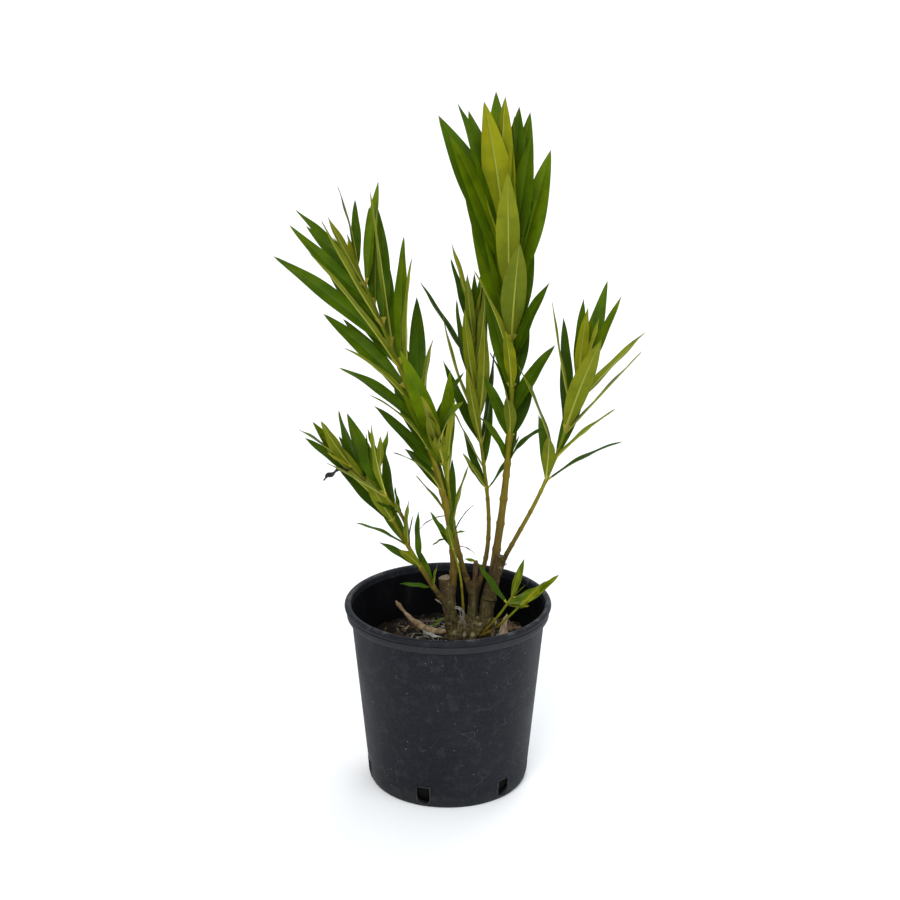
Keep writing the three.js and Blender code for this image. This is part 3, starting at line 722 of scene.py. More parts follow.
for shoot, _ in families():
    if shoot["host"] == "root_crown":
        continue
    curve = shoot_curve(shoot)
    foot = shoot["radii"][0] * MM
    collar_end = COLLAR_LENGTH * MM / curve.speed(0.05)
    add_limb(wood, curve, -0.02, collar_end,
             lambda t, _: foot * (0.97 + 0.45 * (1 - t / collar_end) ** 2), sides=16, steps=12)

old_wood = wood.piece("old_wood")
shell = old_wood.modifiers.new("grown_together", "REMESH")
shell.mode = "VOXEL"
shell.voxel_size = WOOD_GRAIN
melt = old_wood.modifiers.new("melt", "SMOOTH")
melt.factor = 0.6
melt.iterations = 4
apply_modifiers(old_wood)


def cut_height(place, stump):
    """How far a place lies under a stump's saw cut, or None where it isn't near the stump's top."""
    curve = Curve(stump["path"])
    along, back, side = curve.frame(1)
    offset = place - curve.at(1)
    below = -offset.dot(along)
    across = (offset + along * below).length
    if across < stump["radii"][2] * 1.25 * MM and -1.5 * MM < below < 8 * MM:
        return below
    return None


for vertex, normal in zip(old_wood.data.vertices, [v.normal.copy() for v in old_wood.data.vertices]):
    place = vertex.co / MM
    in_crown = 1 - smoothstep(place.z, 176, 196)
    below = [cut_height(vertex.co, stump) for stump in STUMPS if stump["cut"]]
    near_cut = min([depth for depth in below if depth is not None], default=8 * MM)
    held = smoothstep(near_cut, 0.4 * MM, 1.6 * MM)
    grooves = noise.noise(Vector((place.x / 1.9, place.y / 1.9, place.z / 13)))
    lumps = noise.noise(place / 6.5) * lerp(0.45, 1.5, in_crown)
    warts_and_highlights = noise.noise(place / 3.2) * lerp(0.12, 0.85, in_crown)
    scars = abs(noise.noise(Vector((place.x / 15, place.y / 15, place.z / 3.2)))) * 0.5
    relief = 0.32 * grooves + lumps + warts_and_highlights + scars * (1 - in_crown)
    vertex.co += normal * (relief * held * MM)

# The bark, from below: grooved brown, green patches, redder towards the cuts, pale spots, bright dots
# low on the crown that are painted highlights on its knobs, and soil splashed on its foot.
old_bark = Finish("old_bark", roughness=0.88, specular=0.12)
grooves = old_bark.noise(420, detail=5, stretch=(1, 1, 0.14))
old_bark.graded(grooves, [(0.30, (0.018, 0.012, 0.004)), (0.50, (0.054, 0.041, 0.016)),
                          (0.72, (0.112, 0.088, 0.042))])
old_bark.over(old_bark.blotches(75, 0.48, 0.72, detail=6), (0.068, 0.061, 0.017))
old_bark.over(old_bark.height(0.198, 0.222), (0.046, 0.025, 0.010), 0.55)
old_bark.over(old_bark.blotches(150, 0.60, 0.72), (0.135, 0.112, 0.055))
# Bright dots low on the crown: painted highlights on its knobs.
warts_and_highlights = old_bark.both(old_bark.dots(125, 0.46, 0.10), old_bark.height(0.190, 0.176))
old_bark.over(warts_and_highlights, (0.300, 0.265, 0.140), 0.75)
old_bark.over(old_bark.height(0.176, 0.162), (0.030, 0.024, 0.014), 0.7)
old_bark.bump(grooves, 0.45, 0.0005)
old_bark.bump(old_bark.noise(1500, detail=3), 0.35, 0.0002)

saw_cut = grained("saw_cut", 0.9, 0.2, 520, [
    (0.38, (0.07, 0.05, 0.030)), (0.55, (0.20, 0.16, 0.105)), (0.75, (0.42, 0.36, 0.27))],
    bump=(0.5, 0.0004), stretch=(1, 1, 0.2))
old_cut = grained("old_cut", 0.92, 0.1, 520, [
    (0.35, (0.045, 0.033, 0.020)), (0.60, (0.110, 0.085, 0.052)), (0.80, (0.200, 0.165, 0.110))],
    bump=(0.6, 0.0005), stretch=(1, 1, 0.2))

for finish in (old_bark, saw_cut, old_cut):
    old_wood.data.materials.append(finish.material)
for face in old_wood.data.polygons:
    face.use_smooth = True
    for stump in STUMPS:
        below = cut_height(face.center, stump) if stump["cut"] else None
        facing_up = face.normal.dot(Curve(stump["path"]).frame(1)[0]) > 0.72
        if below is not None and below < 0.8 * MM and facing_up:
            face.material_index = 1 if stump["cut"] == "pale" else 2
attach(old_wood, "root")
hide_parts("root_crown", "stump_left", "stump_middle", "stump_right")


# ---------------------------------------------------------------------------------------------
# The dead pegs: short sticks left on the stumps where side shoots were cut or died back, each rooted
# in its stump and broken off at its end. They are dry grey wood that has lost its bark, but for the
# thick one on the middle stump, which keeps its red bark.

pegs = Pile()
for stump in STUMPS:
    curve = Curve(stump["path"])
    for share, direction, length, radius in stump["pegs"]:
        kind = 0 if stump["cut"] else 1
        root = curve.at(share) / MM
        way = Vector(direction).normalized()
        bend = Vector((0.3, -0.2, 0.5)) * (length / 12)
        path = [root, root + way * (length / 3), root + way * (length * 2 / 3) + bend, root + way * length]
        seed = stump["seed"]
        taper = 0.35 * (1 - kind)
        add_limb(pegs, Curve(path), 0, 1,
                 lambda t, angle: radius * (1 - taper * t) * MM
                 * (1 + 0.10 * math.sin(2 * angle + 9 * t + seed) + 0.07 * math.sin(5 * angle + seed)),
                 sides=14, steps=14, kind=kind)

dead_wood = grained("dead_wood", 0.92, 0.2, 700, [
    (0.30, (0.13, 0.10, 0.07)), (0.55, (0.30, 0.25, 0.19)), (0.78, (0.52, 0.47, 0.39))],
    bump=(0.6, 0.0004), stretch=(1, 1, 0.3))
red_bark = grained("red_bark", 0.8, 0.15, 500, [
    (0.30, (0.035, 0.018, 0.009)), (0.55, (0.090, 0.050, 0.024)), (0.78, (0.165, 0.110, 0.055))],
    bump=(0.5, 0.0004), stretch=(1, 1, 0.2))
dead_pegs = pegs.piece("dead_pegs", [dead_wood, red_bark], sharp_over=50)
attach(dead_pegs, "root")


# ---------------------------------------------------------------------------------------------
# The shoots' stems: each one runs unbroken from its seat in a stump to its growing tip. It is
# corky and grey-brown at the foot, reddish where it ripens and green among the leaves, and it
# swells at each node, where a whorl of leaves sits or has dropped.

OLD_NODE_SPACING = 26 * MM
NODE_LENGTH = 2.6 * MM
NODE_SWELL = 0.20


def whorl_places(shoot):
    """The share of the whorls and the place on the path of each whorl, lowest first."""
    for whorl in range(shoot["whorls"]):
        share = whorl / (shoot["whorls"] - 1) if shoot["whorls"] > 1 else 0
        yield whorl, share, lerp(shoot["leafy_from"], 1, 1 - (1 - share) ** shoot["crowding"])


def stem_thickness(shoot, t):
    return lerp(shoot["radii"][0], shoot["radii"][1], t) * MM


def stem_skin(shoot, curve):
    length = sum((curve.at((i + 1) / 50) - curve.at(i / 50)).length for i in range(50))
    nodes = [place for _, _, place in whorl_places(shoot)]
    bare = max(int(shoot["leafy_from"] * length / OLD_NODE_SPACING), 1)
    nodes += [shoot["leafy_from"] * (index + 0.5) / bare for index in range(bare)]
    swell_over = NODE_LENGTH / length
    seed = shoot["seed"]

    def radius(t, angle):
        swell = sum(math.exp(-(((t - node) / swell_over) ** 2)) for node in nodes)
        wavy = 0.04 * math.sin(3 * angle + 17 * t + seed) + 0.03 * math.sin(61 * t + seed)
        return stem_thickness(shoot, t) * (1 + NODE_SWELL * min(swell, 1) + wavy)

    return radius


stem_bark = Finish("stem_bark", roughness=0.66, specular=0.15, ior=1.33)
wander = stem_bark.both(stem_bark.maths("SUBTRACT", stem_bark.noise(70), 0.5), 0.35)
stem_bark.graded(stem_bark.maths("ADD", stem_bark.along_part(), wander), [
    (0.00, (0.072, 0.050, 0.012)), (0.16, (0.104, 0.072, 0.012)), (0.34, (0.134, 0.102, 0.008)),
    (0.55, (0.158, 0.150, 0.006)), (0.80, (0.150, 0.185, 0.008))])
stem_bark.over(stem_bark.blotches(320, 0.48, 0.70, stretch=(1, 1, 0.12)), (0.070, 0.034, 0.010), 0.5)
stem_bark.over(stem_bark.dots(620, 0.16, 0.08), (0.18, 0.15, 0.070), 0.45)
stem_bark.bump(stem_bark.noise(500, stretch=(1, 1, 0.15)), 0.4, 0.0004)

for shoot, family in families():
    stem = Pile()
    for member in family:
        curve = shoot_curve(member)
        add_limb(stem, curve, 0, 1, stem_skin(member, curve), sides=14, steps=150, pointed=True)
    piece = stem.piece("stem_" + shoot["name"], [stem_bark])
    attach(piece, "root")
    if shoot["host"] != "root_crown":
        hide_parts("bough_" + shoot["name"])


# ---------------------------------------------------------------------------------------------
# The leaves: narrow, leathery blades in whorls of three, deep green and a little glossy above,
# dull and paler below, with a thick pale midrib that stands out under the blade and sinks into a
# groove on top. Each sits on a short yellow-green stalk. The top of each shoot ends in young ones.

PER_WHORL = 3
PETIOLE = 0.1
CUP = 0.18
SUNK = 0.3
BLADE_THICKNESS = 0.4 * MM
RIB_FOOT = 1.15 * MM
RIB_TIP = 0.25 * MM
BLADE_ROWS = 26
# The lines along a blade, from its left edge to its right one. Those up to RIB_COLUMN from the
# middle shape the midrib, and a blade is all stalk up to STALK_SHARE of its length.
COLUMNS = (-1, -0.76, -0.48, -0.25, -0.12, 0, 0.12, 0.25, 0.48, 0.76, 1)
RIB_COLUMN = 0.25
RING = 2 * len(COLUMNS) - 2
STALK_SHARE = 0.055
NEAR_TIP = 0.998
UNDER, TOP, RIB = 0, 1, 2


class Leaf:
    """One leaf: where it is rooted, the way that it heads, faces and bends, and its size."""

    def __init__(self, root, heading, face, across, length, half_width, arch, sweep, wave):
        self.root = root
        self.heading = heading
        self.face = face
        self.across = across
        self.length = length
        self.half_width = half_width
        self.arch = arch or 0.001
        self.sweep = sweep
        self.wave = wave

    def at(self, share, out=0.0, lift=0.0):
        """The place at a share of the length, so far out from the midrib and up off the blade."""
        bend = self.arch * share
        up = self.face * math.cos(bend) + self.heading * math.sin(bend)
        return (self.root + self.heading * (self.length * math.sin(bend) / self.arch)
                - self.face * (self.length * (1 - math.cos(bend)) / self.arch)
                + self.across * (self.length * self.sweep * share * share + out)
                + up * (abs(out) * CUP + lift))


def leaf_outline(share):
    """A leaf's half width at a share of its length, over its widest half width."""
    if share == 0:
        return PETIOLE
    return max(math.sin(math.pi * share**0.92), 0) ** 0.9


LIGHT = Vector((0, -0.75, 0.66))


def leaned(along, outward, lean):
    """The way that a leaf heads when it leans out from its stem, and the way that it faces."""
    return (along * math.cos(lean) + outward * math.sin(lean),
            along * math.sin(lean) - outward * math.cos(lean))


def rolled(face, across, roll):
    """A leaf's face and its way across, turned on its stalk."""
    return (face * math.cos(roll) - across * math.sin(roll),
            across * math.cos(roll) + face * math.sin(roll))


def leaf_at(shoot, curve, whorl, share, t, turn):
    """The leaf that the growth rule puts at one place of one whorl."""
    count = whorl * PER_WHORL + turn

    def varied(quality):
        return spread(shoot["seed"], 10 * count + quality)

    step = 360 / PER_WHORL
    around = math.radians(shoot["turn"] + whorl * step / 2 + turn * step + 14 * varied(1))
    lean = math.radians(lerp(*shoot["lean"], share) + shoot["lean_varies"] * varied(2))
    arch = math.radians(lerp(*shoot["arch"], share) + 12 * varied(4))
    lowest, longest, top = shoot["lengths"]
    if share < shoot["longest_at"]:
        typical = lerp(lowest, longest, share / shoot["longest_at"])
    else:
        typical = lerp(longest, top, (share - shoot["longest_at"]) / (1 - shoot["longest_at"]))
    length = typical * (1 + 0.12 * varied(3)) * MM
    half_width = length * shoot["slimness"] * (1 + 0.12 * varied(6)) / 2
    below_tip = min(t, NEAR_TIP)
    outward = curve.outward(below_tip, around)
    heading, face = leaned(curve.frame(below_tip)[0], outward, lean)
    across = heading.cross(face)
    face, across = rolled(face, across, math.radians(18 * varied(5) - shoot["twist"] * across.dot(LIGHT)))
    root = curve.at(t) + outward * (SUNK * stem_thickness(shoot, t))
    return Leaf(root, heading, face, across, length, half_width, arch, 0.06 * varied(7),
                wave=chance(shoot["seed"], 10 * count + 8))


def blade_ring(leaf, share, ripple):
    """The points across a leaf at a share of its length, with their uvs: over its top and back under."""
    rib = lerp(RIB_FOOT, RIB_TIP, share) * min(leaf.length / (110 * MM), 1.1)
    half = max(leaf.half_width * leaf_outline(share), rib * (1 - share**4))
    rib_share = min(rib / half, 0.9)
    blade = smoothstep(half, rib, 3 * rib)
    for side, columns in ((1, COLUMNS), (-1, COLUMNS[-2:0:-1])):
        for column in columns:
            near = abs(column)
            if near <= RIB_COLUMN:
                out = rib_share * near / RIB_COLUMN
            else:
                out = lerp(rib_share, 1, (near - RIB_COLUMN) / (1 - RIB_COLUMN))
            waves = math.sin(2 * math.pi * (2.4 * share + leaf.wave) + (1.7 if column > 0 else 0))
            lift = ripple * waves * near * near * blade
            ribbed = max(1 - near / RIB_COLUMN, 0) ** 0.7
            if near < 1 and side > 0:
                lift += BLADE_THICKNESS / 2 - 0.35 * rib * ribbed * blade + 0.5 * rib * (1 - blade)
            elif near < 1:
                lift -= BLADE_THICKNESS / 2 + rib * ribbed
            yield leaf.at(share, math.copysign(out, column) * half, lift), (0.5 + column / 2, share)


def add_blade(pile, leaf, kinds, rows=BLADE_ROWS, ripple=0.6 * MM):
    """A leaf as one closed skin. kinds gives the places of its under, top and rib skins."""
    shares = [(row / rows) ** 1.15 for row in range(rows)]
    placed = [pair for share in shares for pair in blade_ring(leaf, share, ripple)]
    points = [point for point, _ in placed] + [leaf.at(1)]
    uvs = [uv for _, uv in placed] + [(0.5, 1)]
    faces = [tuple(reversed(range(RING)))] + joined_rings(rows, RING)
    faces += fan((rows - 1) * RING, RING, rows * RING)
    sides = [TOP if corner < len(COLUMNS) - 1 else UNDER for corner in range(RING)]
    middle = len(COLUMNS) // 2
    faces_kinds = [kinds[RIB]]
    for row in range(rows - 1):
        for corner, side in enumerate(sides):
            under_rib = side == UNDER and abs(corner - 3 * middle + 0.5) < 1.6
            on_rib = shares[row] < STALK_SHARE or under_rib
            faces_kinds.append(kinds[RIB if on_rib else side])
    pile.add(points, faces, faces_kinds + [kinds[side] for side in sides], uvs)


def leaf_finish(name, light, deep, roughness, rib_line=None):
    """A leaf's skin: two greens in soft patches, yellower towards its tip, with faint side veins,
    freckles, a few black spots, the pale line of the midrib on top and a dry brown tip."""
    skin = Finish(name, roughness, specular=0.10, ior=1.28)
    skin.blended(skin.blotches(48, 0.30, 0.72), deep, light)
    flush = (1.3 * light[0] + 0.010, 1.08 * light[1], light[2])
    ripening = skin.both(skin.between(skin.along_part(), 0.30, 1.0), skin.blotches(32, 0.40, 0.66, 3))
    skin.over(ripening, flush, 0.40)
    vein = skin.side_veins(46, 9)
    skin.over(vein, tuple(1.5 * part + 0.01 for part in light), 0.10)
    skin.over(skin.blotches(700, 0.66, 0.74, 2), (0.16, 0.13, 0.03), 0.25)
    spots = skin.both(skin.dots(85, 0.10, 0.06), skin.blotches(21, 0.56, 0.62, 1))
    skin.over(spots, (0.020, 0.022, 0.006), 0.8)
    if rib_line:
        skin.over(skin.between(skin.from_midrib(), 0.040, 0.010), rib_line, 0.75)
    skin.over(skin.between(skin.along_part(), 0.970, 0.995), (0.150, 0.090, 0.030))
    skin.bump(vein, 0.12, 0.0003)
    skin.bump(skin.noise(260, 3), 0.18, 0.0005)
    return skin


# Greens of the upper side in the light patches and the deep ones, of its midrib, and of the
# underside in the light patches and the deep ones.
LEAF_GREENS = [
    ("young", (0.165, 0.195, 0.001), (0.090, 0.128, 0.001), (0.230, 0.250, 0.030),
     (0.225, 0.222, 0.002), (0.165, 0.172, 0.002)),
    ("fresh", (0.088, 0.138, 0.001), (0.048, 0.088, 0.001), (0.150, 0.200, 0.022),
     (0.185, 0.193, 0.005), (0.128, 0.145, 0.004)),
    ("grown", (0.052, 0.098, 0.001), (0.030, 0.064, 0.001), (0.105, 0.155, 0.018),
     (0.150, 0.170, 0.008), (0.102, 0.126, 0.006)),
    ("deep", (0.033, 0.071, 0.001), (0.020, 0.046, 0.001), (0.080, 0.120, 0.015),
     (0.115, 0.140, 0.010), (0.080, 0.104, 0.007)),
]
leaf_skins = []
for name, top_light, top_deep, rib_line, under_light, under_deep in LEAF_GREENS:
    leaf_skins.append(leaf_finish("leaf_under_" + name, under_light, under_deep, 0.62))
    leaf_skins.append(leaf_finish("leaf_top_" + name, top_light, top_deep, 0.42, rib_line))

midrib = Finish("midrib", roughness=0.5, specular=0.15)
midrib.graded(midrib.along_part(), [(0.0, (0.30, 0.22, 0.018)), (0.10, (0.30, 0.30, 0.035)),
                                    (0.55, (0.26, 0.29, 0.045)), (1.0, (0.16, 0.21, 0.025))])
midrib.over(midrib.blotches(220, 0.50, 0.75, 3), (0.20, 0.19, 0.03), 0.3)
midrib.bump(midrib.noise(600, 3), 0.2, 0.0003)
RIB_PLACE = len(leaf_skins)
leaf_skins.append(midrib)
DEEPEST = len(LEAF_GREENS) - 1


def kinds_for(age):
    """The places of a leaf's under, top and rib skins, for an age from young (0) to deep (3)."""
    tint = min(max(round(age), 0), DEEPEST)
    return (2 * tint, 2 * tint + 1, RIB_PLACE)


def grew(leaf, marks):
    """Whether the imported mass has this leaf: it was left out where it would have met a limb."""
    places = [leaf.at(1)]
    for share in (1 / 3, 2 / 3):
        half = leaf.half_width * leaf_outline(share)
        places += [leaf.at(share, half), leaf.at(share, -half)]
    near = [marks.find(place)[2] < 0.8 * MM for place in places]
    return near[0] or sum(near) >= 2


def marks_of(node):
    """The corners of a packed mass, to look up which one lies nearest to a place."""
    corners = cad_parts[node].data.vertices
    tree = kdtree.KDTree(len(corners))
    for index, corner in enumerate(corners):
        tree.insert(corner.co, index)
    tree.balance()
    return tree


# How far each shoot's leaves are from young (0) towards deep (3), at its foot and at its top.
LEAF_AGES = {"tall": (2.2, 1.6), "middle": (3.0, 1.8), "right": (2.4, 1.1), "left": (3.0, 1.3),
             "centre": (2.6, 1.4), "low_left": (2.6, 1.9), "low_left_fork": (2.8, 1.6),
             "sprig": (2.2, 1.6), "foot_upper": (2.2, 1.5), "foot_lower": (0.6, 0.4)}

BUD_LEAVES = 6

for shoot, family in families():
    node = "foliage_" + shoot["name"]
    marks = marks_of(node)
    blades = Pile()
    for member in family:
        curve = shoot_curve(member)
        oldest, youngest = LEAF_AGES[member["name"]]
        for whorl, share, t in whorl_places(member):
            for turn in range(PER_WHORL):
                leaf = leaf_at(member, curve, whorl, share, t, turn)
                if grew(leaf, marks):
                    varied = spread(member["seed"], 10 * (whorl * PER_WHORL + turn) + 9)
                    add_blade(blades, leaf, kinds_for(lerp(oldest, youngest, share) + 0.75 * varied))
        for bud in range(BUD_LEAVES):
            outward = curve.outward(NEAR_TIP, math.radians(member["turn"] + 40 + 137 * bud))
            heading, face = leaned(curve.frame(NEAR_TIP)[0], outward, math.radians(19 - 2.4 * bud))
            length = member["lengths"][2] * (0.52 - 0.07 * bud) * MM
            young = Leaf(curve.at(1), heading, face, heading.cross(face), length, length * 0.07,
                         math.radians(-8), 0.0, 0.3 * bud)
            add_blade(blades, young, kinds_for(youngest - 0.8), rows=16, ripple=0.2 * MM)
    piece = blades.piece("leaves_" + shoot["name"], leaf_skins, sharp_over=55)
    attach(piece, "root")
    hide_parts(node)


# ---------------------------------------------------------------------------------------------
# The withered leaves: one shrivelled black leaf near the tip of the low shoot on the left, and two
# thin grey ones and two dry brown curls that still hang on the stems lower down.

# Each dead leaf: its shoot, its place on the stem, the way it points, its length and width, how far
# it curls over, and whether it is black (0), brown (1) or grey (2).
WITHERED = [
    ("low_left", 0.97, (-0.90, -0.30, 0.35), 37, 12.0, 65, 0),
    ("low_left", 0.46, (0.12, -0.30, 1.00), 50, 1.8, 25, 2),
    ("centre", 0.40, (0.30, -0.30, 1.00), 50, 1.8, 30, 2),
    ("left", 0.30, (-0.80, -0.20, 0.10), 36, 2.2, 60, 1),
    ("centre", 0.30, (0.60, -0.60, 0.30), 26, 2.0, 50, 1),
]

black_leaf = grained("black_leaf", 0.7, 0.35, 240, [
    (0.35, (0.006, 0.005, 0.004)), (0.60, (0.022, 0.017, 0.012)), (0.80, (0.060, 0.045, 0.030))],
    bump=(0.7, 0.0008), detail=5)
dry_leaf = grained("dry_leaf", 0.8, 0.15, 160, [
    (0.30, (0.080, 0.050, 0.024)), (0.52, (0.170, 0.118, 0.064)), (0.75, (0.300, 0.225, 0.135))],
    bump=(0.5, 0.0006), detail=5)
dry_leaf.bump(dry_leaf.side_veins(30, 7), 0.3, 0.0005)
grey_leaf = grained("grey_leaf", 0.8, 0.15, 300, [
    (0.35, (0.040, 0.052, 0.034)), (0.70, (0.090, 0.105, 0.075))], bump=(0.4, 0.0004), stretch=(1, 1, 0.3))


def curled_leaf(root, way, length, width, curl, seed, roll=0.0):
    """A leaf that points its own way. It curls over along its length, by degrees; roll is in radians."""
    heading = Vector(way).normalized()
    sideways = heading.cross(Vector((0, 0, 1))).normalized()
    face = sideways.cross(heading)
    face, across = rolled(face, heading.cross(face), roll)
    return Leaf(root, heading, face, across, length * MM, width / 2 * MM,
                math.radians(curl), 0.12 * spread(seed, 1), wave=chance(seed, 2))


withered = Pile()
for index, (name, t, way, length, width, curl, kind) in enumerate(WITHERED):
    shoot = next(other for other in SHOOTS if other["name"] == name)
    leaf = curled_leaf(shoot_curve(shoot).at(t), way, length, width, curl, index)
    add_blade(withered, leaf, (kind,) * 3, rows=22, ripple=0.17 * width * MM)
withered_leaves = withered.piece("withered_leaves", [black_leaf, dry_leaf, grey_leaf], sharp_over=55)
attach(withered_leaves, "root")


# ---------------------------------------------------------------------------------------------
# The litter on the soil: chips of bark, pale grit, grey root fibres, scraps of dead leaf, one long
# leaf that has rolled itself up and two seedlings of a weed. Two small things higher up are joined
# to it: a tuft of roots on the left stump and a green leaf on the middle stump's peg.

draw = random.Random(41)
SURFACE_REACH = 92 * MM


def on_soil(x, y, lift=0.0):
    return Vector((x, y, crumbled(x, y) + lift))


def scattered(number, centre, reach):
    """Places on the open soil round a centre, clear of the crown."""
    places = []
    while len(places) < number:
        x = draw.gauss(centre[0], reach) * MM
        y = draw.gauss(centre[1], reach) * MM
        clear = math.hypot(x - SEAT_CENTRE.x, (y - SEAT_CENTRE.y) * 1.3) > 24 * MM
        if clear and math.hypot(x, y) < SURFACE_REACH:
            places.append((x, y))
    return places


def add_chip(pile, centre, length, width, thickness, kind):
    """A flat chip with a broken outline, lying tilted."""
    spin = draw.uniform(0, 2 * math.pi)
    tilt = Vector((draw.uniform(-0.4, 0.4), draw.uniform(-0.4, 0.4), 1)).normalized()
    long_way = Vector((math.cos(spin), math.sin(spin), 0))
    long_way = (long_way - tilt * tilt.dot(long_way)).normalized()
    wide_way = tilt.cross(long_way)
    corners = 9
    rough = [draw.uniform(0.72, 1.12) for _ in range(corners)]
    points = []
    for level, scale in ((-0.5, 0.82), (-0.2, 1.0), (0.25, 0.97), (0.5, 0.80)):
        for corner in range(corners):
            angle = 2 * math.pi * corner / corners
            reach = rough[corner] * scale
            lump = draw.uniform(-0.12, 0.12)
            points.append(centre + long_way * (reach * math.cos(angle) * length / 2)
                          + wide_way * (reach * math.sin(angle) * width / 2)
                          + tilt * ((level + lump) * thickness))
    caps = [tuple(reversed(range(corners))), tuple(range(3 * corners, 4 * corners))]
    pile.add(points, caps + joined_rings(4, corners), kind)


BARK_TINTS = [
    ("chip_tan", (0.050, 0.030, 0.015), (0.145, 0.095, 0.053)),
    ("chip_brown", (0.026, 0.016, 0.009), (0.088, 0.054, 0.031)),
    ("chip_dark", (0.008, 0.006, 0.005), (0.034, 0.025, 0.017)),
]
chip_skins = [grained(name, 0.9, 0.2, 260, [(0.32, dark), (0.68, light)], bump=(0.7, 0.0006),
                      detail=5, stretch=(1, 1, 3)) for name, dark, light in BARK_TINTS]
# Each drift of chips: its centre, its reach, how many chips it has and what tints they take.
CHIP_DRIFTS = [
    ((62, 45), 16, 46, (0, 0, 1, 2)), ((-35, 30), 28, 60, (1, 2, 2)),
    ((10, -30), 35, 50, (1, 1, 2, 0)), ((20, 55), 30, 40, (1, 2, 2)),
]
chips = Pile()
for centre, reach, number, kinds in CHIP_DRIFTS:
    for x, y in scattered(number, centre, reach):
        length = draw.uniform(4, 15) * MM
        add_chip(chips, on_soil(x, y, 0.6 * MM), length, length * draw.uniform(0.35, 0.7),
                 draw.uniform(1.2, 2.8) * MM, draw.choice(kinds))
bark_chips = chips.piece("bark_chips", chip_skins, sharp_over=35)
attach(bark_chips, "root")

pale_grit = grained("pale_grit", 0.9, 0.25, 1100, [
    (0.35, (0.060, 0.055, 0.045)), (0.65, (0.20, 0.19, 0.165))], bump=(0.6, 0.0004), detail=3)
grit_pile = Pile()
for x, y in scattered(60, (0, 20), 45) + scattered(14, (-25, 10), 14):
    size = draw.uniform(0.4, 1.3) * MM
    add_ball(grit_pile, on_soil(x, y, size * 0.3),
             (size, size * draw.uniform(0.6, 1), size * draw.uniform(0.5, 0.9)), sides=7, rings=5)
grit_bits = grit_pile.piece("grit_bits", [pale_grit])
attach(grit_bits, "root")

root_fibre = grained("root_fibre", 0.9, 0.2, 500, [
    (0.35, (0.10, 0.092, 0.075)), (0.65, (0.34, 0.32, 0.28))], bump=(0.4, 0.0003), detail=3)
fibres = Pile()
for x, y in scattered(44, (8, 18), 26):
    heading = draw.uniform(0, 2 * math.pi)
    stride = draw.uniform(3, 9)
    path = []
    for knot in range(4):
        path.append(on_soil(x, y, draw.uniform(0.6, 3.4) * MM) / MM)
        heading += draw.uniform(-0.9, 0.9)
        x += stride * MM * math.cos(heading)
        y += stride * MM * math.sin(heading)
    thin = draw.uniform(0.25, 0.55) * MM
    add_limb(fibres, Curve(path), 0, 1, lambda t, _: thin * (1 - 0.6 * t), sides=6, steps=16)
# A tuft of dead pale roots hangs from the front of the left stump over the crown.
TUFT_PATH = [(7.5, -14.6, 200.4), (21, -15, 200), (10, -15, 186), (19.2, -15.5, 180.5)]
for strand in range(7):
    path = []
    for knot, point in enumerate(TUFT_PATH):
        stray = Vector([spread(50 + strand, 3 * knot + axis) for axis in range(3)])
        path.append(Vector(point) + stray * (2.0 + 2.4 * (knot in (1, 2))))
    add_limb(fibres, Curve(path), 0, 1, lambda t, _: 0.32 * (1 - 0.4 * t) * MM, sides=6, steps=28)
root_fibres = fibres.piece("root_fibres", [root_fibre])
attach(root_fibres, "root")

silvery_leaf = grained("silvery_leaf", 0.75, 0.3, 190, [
    (0.30, (0.10, 0.095, 0.080)), (0.70, (0.30, 0.30, 0.27))], bump=(0.6, 0.0006), detail=5)
bleached_leaf = grained("bleached_leaf", 0.8, 0.15, 170, [
    (0.30, (0.150, 0.105, 0.062)), (0.50, (0.290, 0.215, 0.140)), (0.75, (0.430, 0.340, 0.240))],
    bump=(0.5, 0.0006), detail=5)

# Each scrap: the place of its stalk, the way it points, its length and width, how far it curls
# up, how far it is rolled over, and whether it is brown (0), silvery (1) or bleached tan (2).
SCRAPS = [
    ((-6, -12), (-0.95, 0.05, 0.10), 28, 4.0, -60, 40, 1),
    ((-20, -10), (-0.7, 0.6, 0.05), 24, 4.5, 80, -35, 1),
    ((-14, 8), (-0.6, 0.75, 0.25), 22, 3.5, 90, 20, 1),
    ((59, -33), (-0.08, 0.06, 1.0), 40, 11, 12, 95, 2),
    ((53, -30), (0.05, 0.05, 1.0), 30, 6, 25, 80, 1),
    ((47, -31), (0.02, 0.05, 1.0), 30, 8.5, 20, 95, 0),
    ((68, 18), (0.8, 0.5, 0.2), 22, 5, 60, -20, 0),
    ((-48, 34), (0.5, 0.8, 0.2), 28, 5, 70, 10, 0),
]
fallen = Pile()
for index, (place, way, length, width, curl, roll, kind) in enumerate(SCRAPS):
    root = on_soil(place[0] * MM, place[1] * MM, 2.0 * MM)
    leaf = curled_leaf(root, way, length, width, curl, 60 + index, math.radians(roll))
    add_blade(fallen, leaf, (kind,) * 3, ripple=1.1 * MM)

# The long one has rolled itself up: a flattened quill with a seam, thick at its stalk and flared
# at its tip, which stands up off the soil.
QUILL_PATH = [(-1, -3, 168), (-26, 8, 160), (-41, 33, 165), (-57, 44, 183)]
QUILL_WIDTHS = [(0, 2.0), (0.08, 3.2), (0.30, 3.8), (0.48, 4.1),
                (0.66, 2.8), (0.80, 1.8), (0.93, 2.7), (1, 1.2)]


def quill_radius(t, angle):
    for (start, first), (end, last) in zip(QUILL_WIDTHS, QUILL_WIDTHS[1:]):
        if start <= t <= end:
            half = lerp(first, last, smoothstep(t, start, end))
    flat = 1 / math.hypot(math.cos(angle) / 1.25, math.sin(angle) / 0.85)
    seam = 0.45 * math.exp(-(((angle - 1.3 - 0.6 * t) / 0.32) ** 2))
    crinkle = 0.06 * math.sin(31 * t + 2 * angle) + 0.04 * math.sin(67 * t + 3 * angle)
    return half * flat * (1 - seam + crinkle) * MM


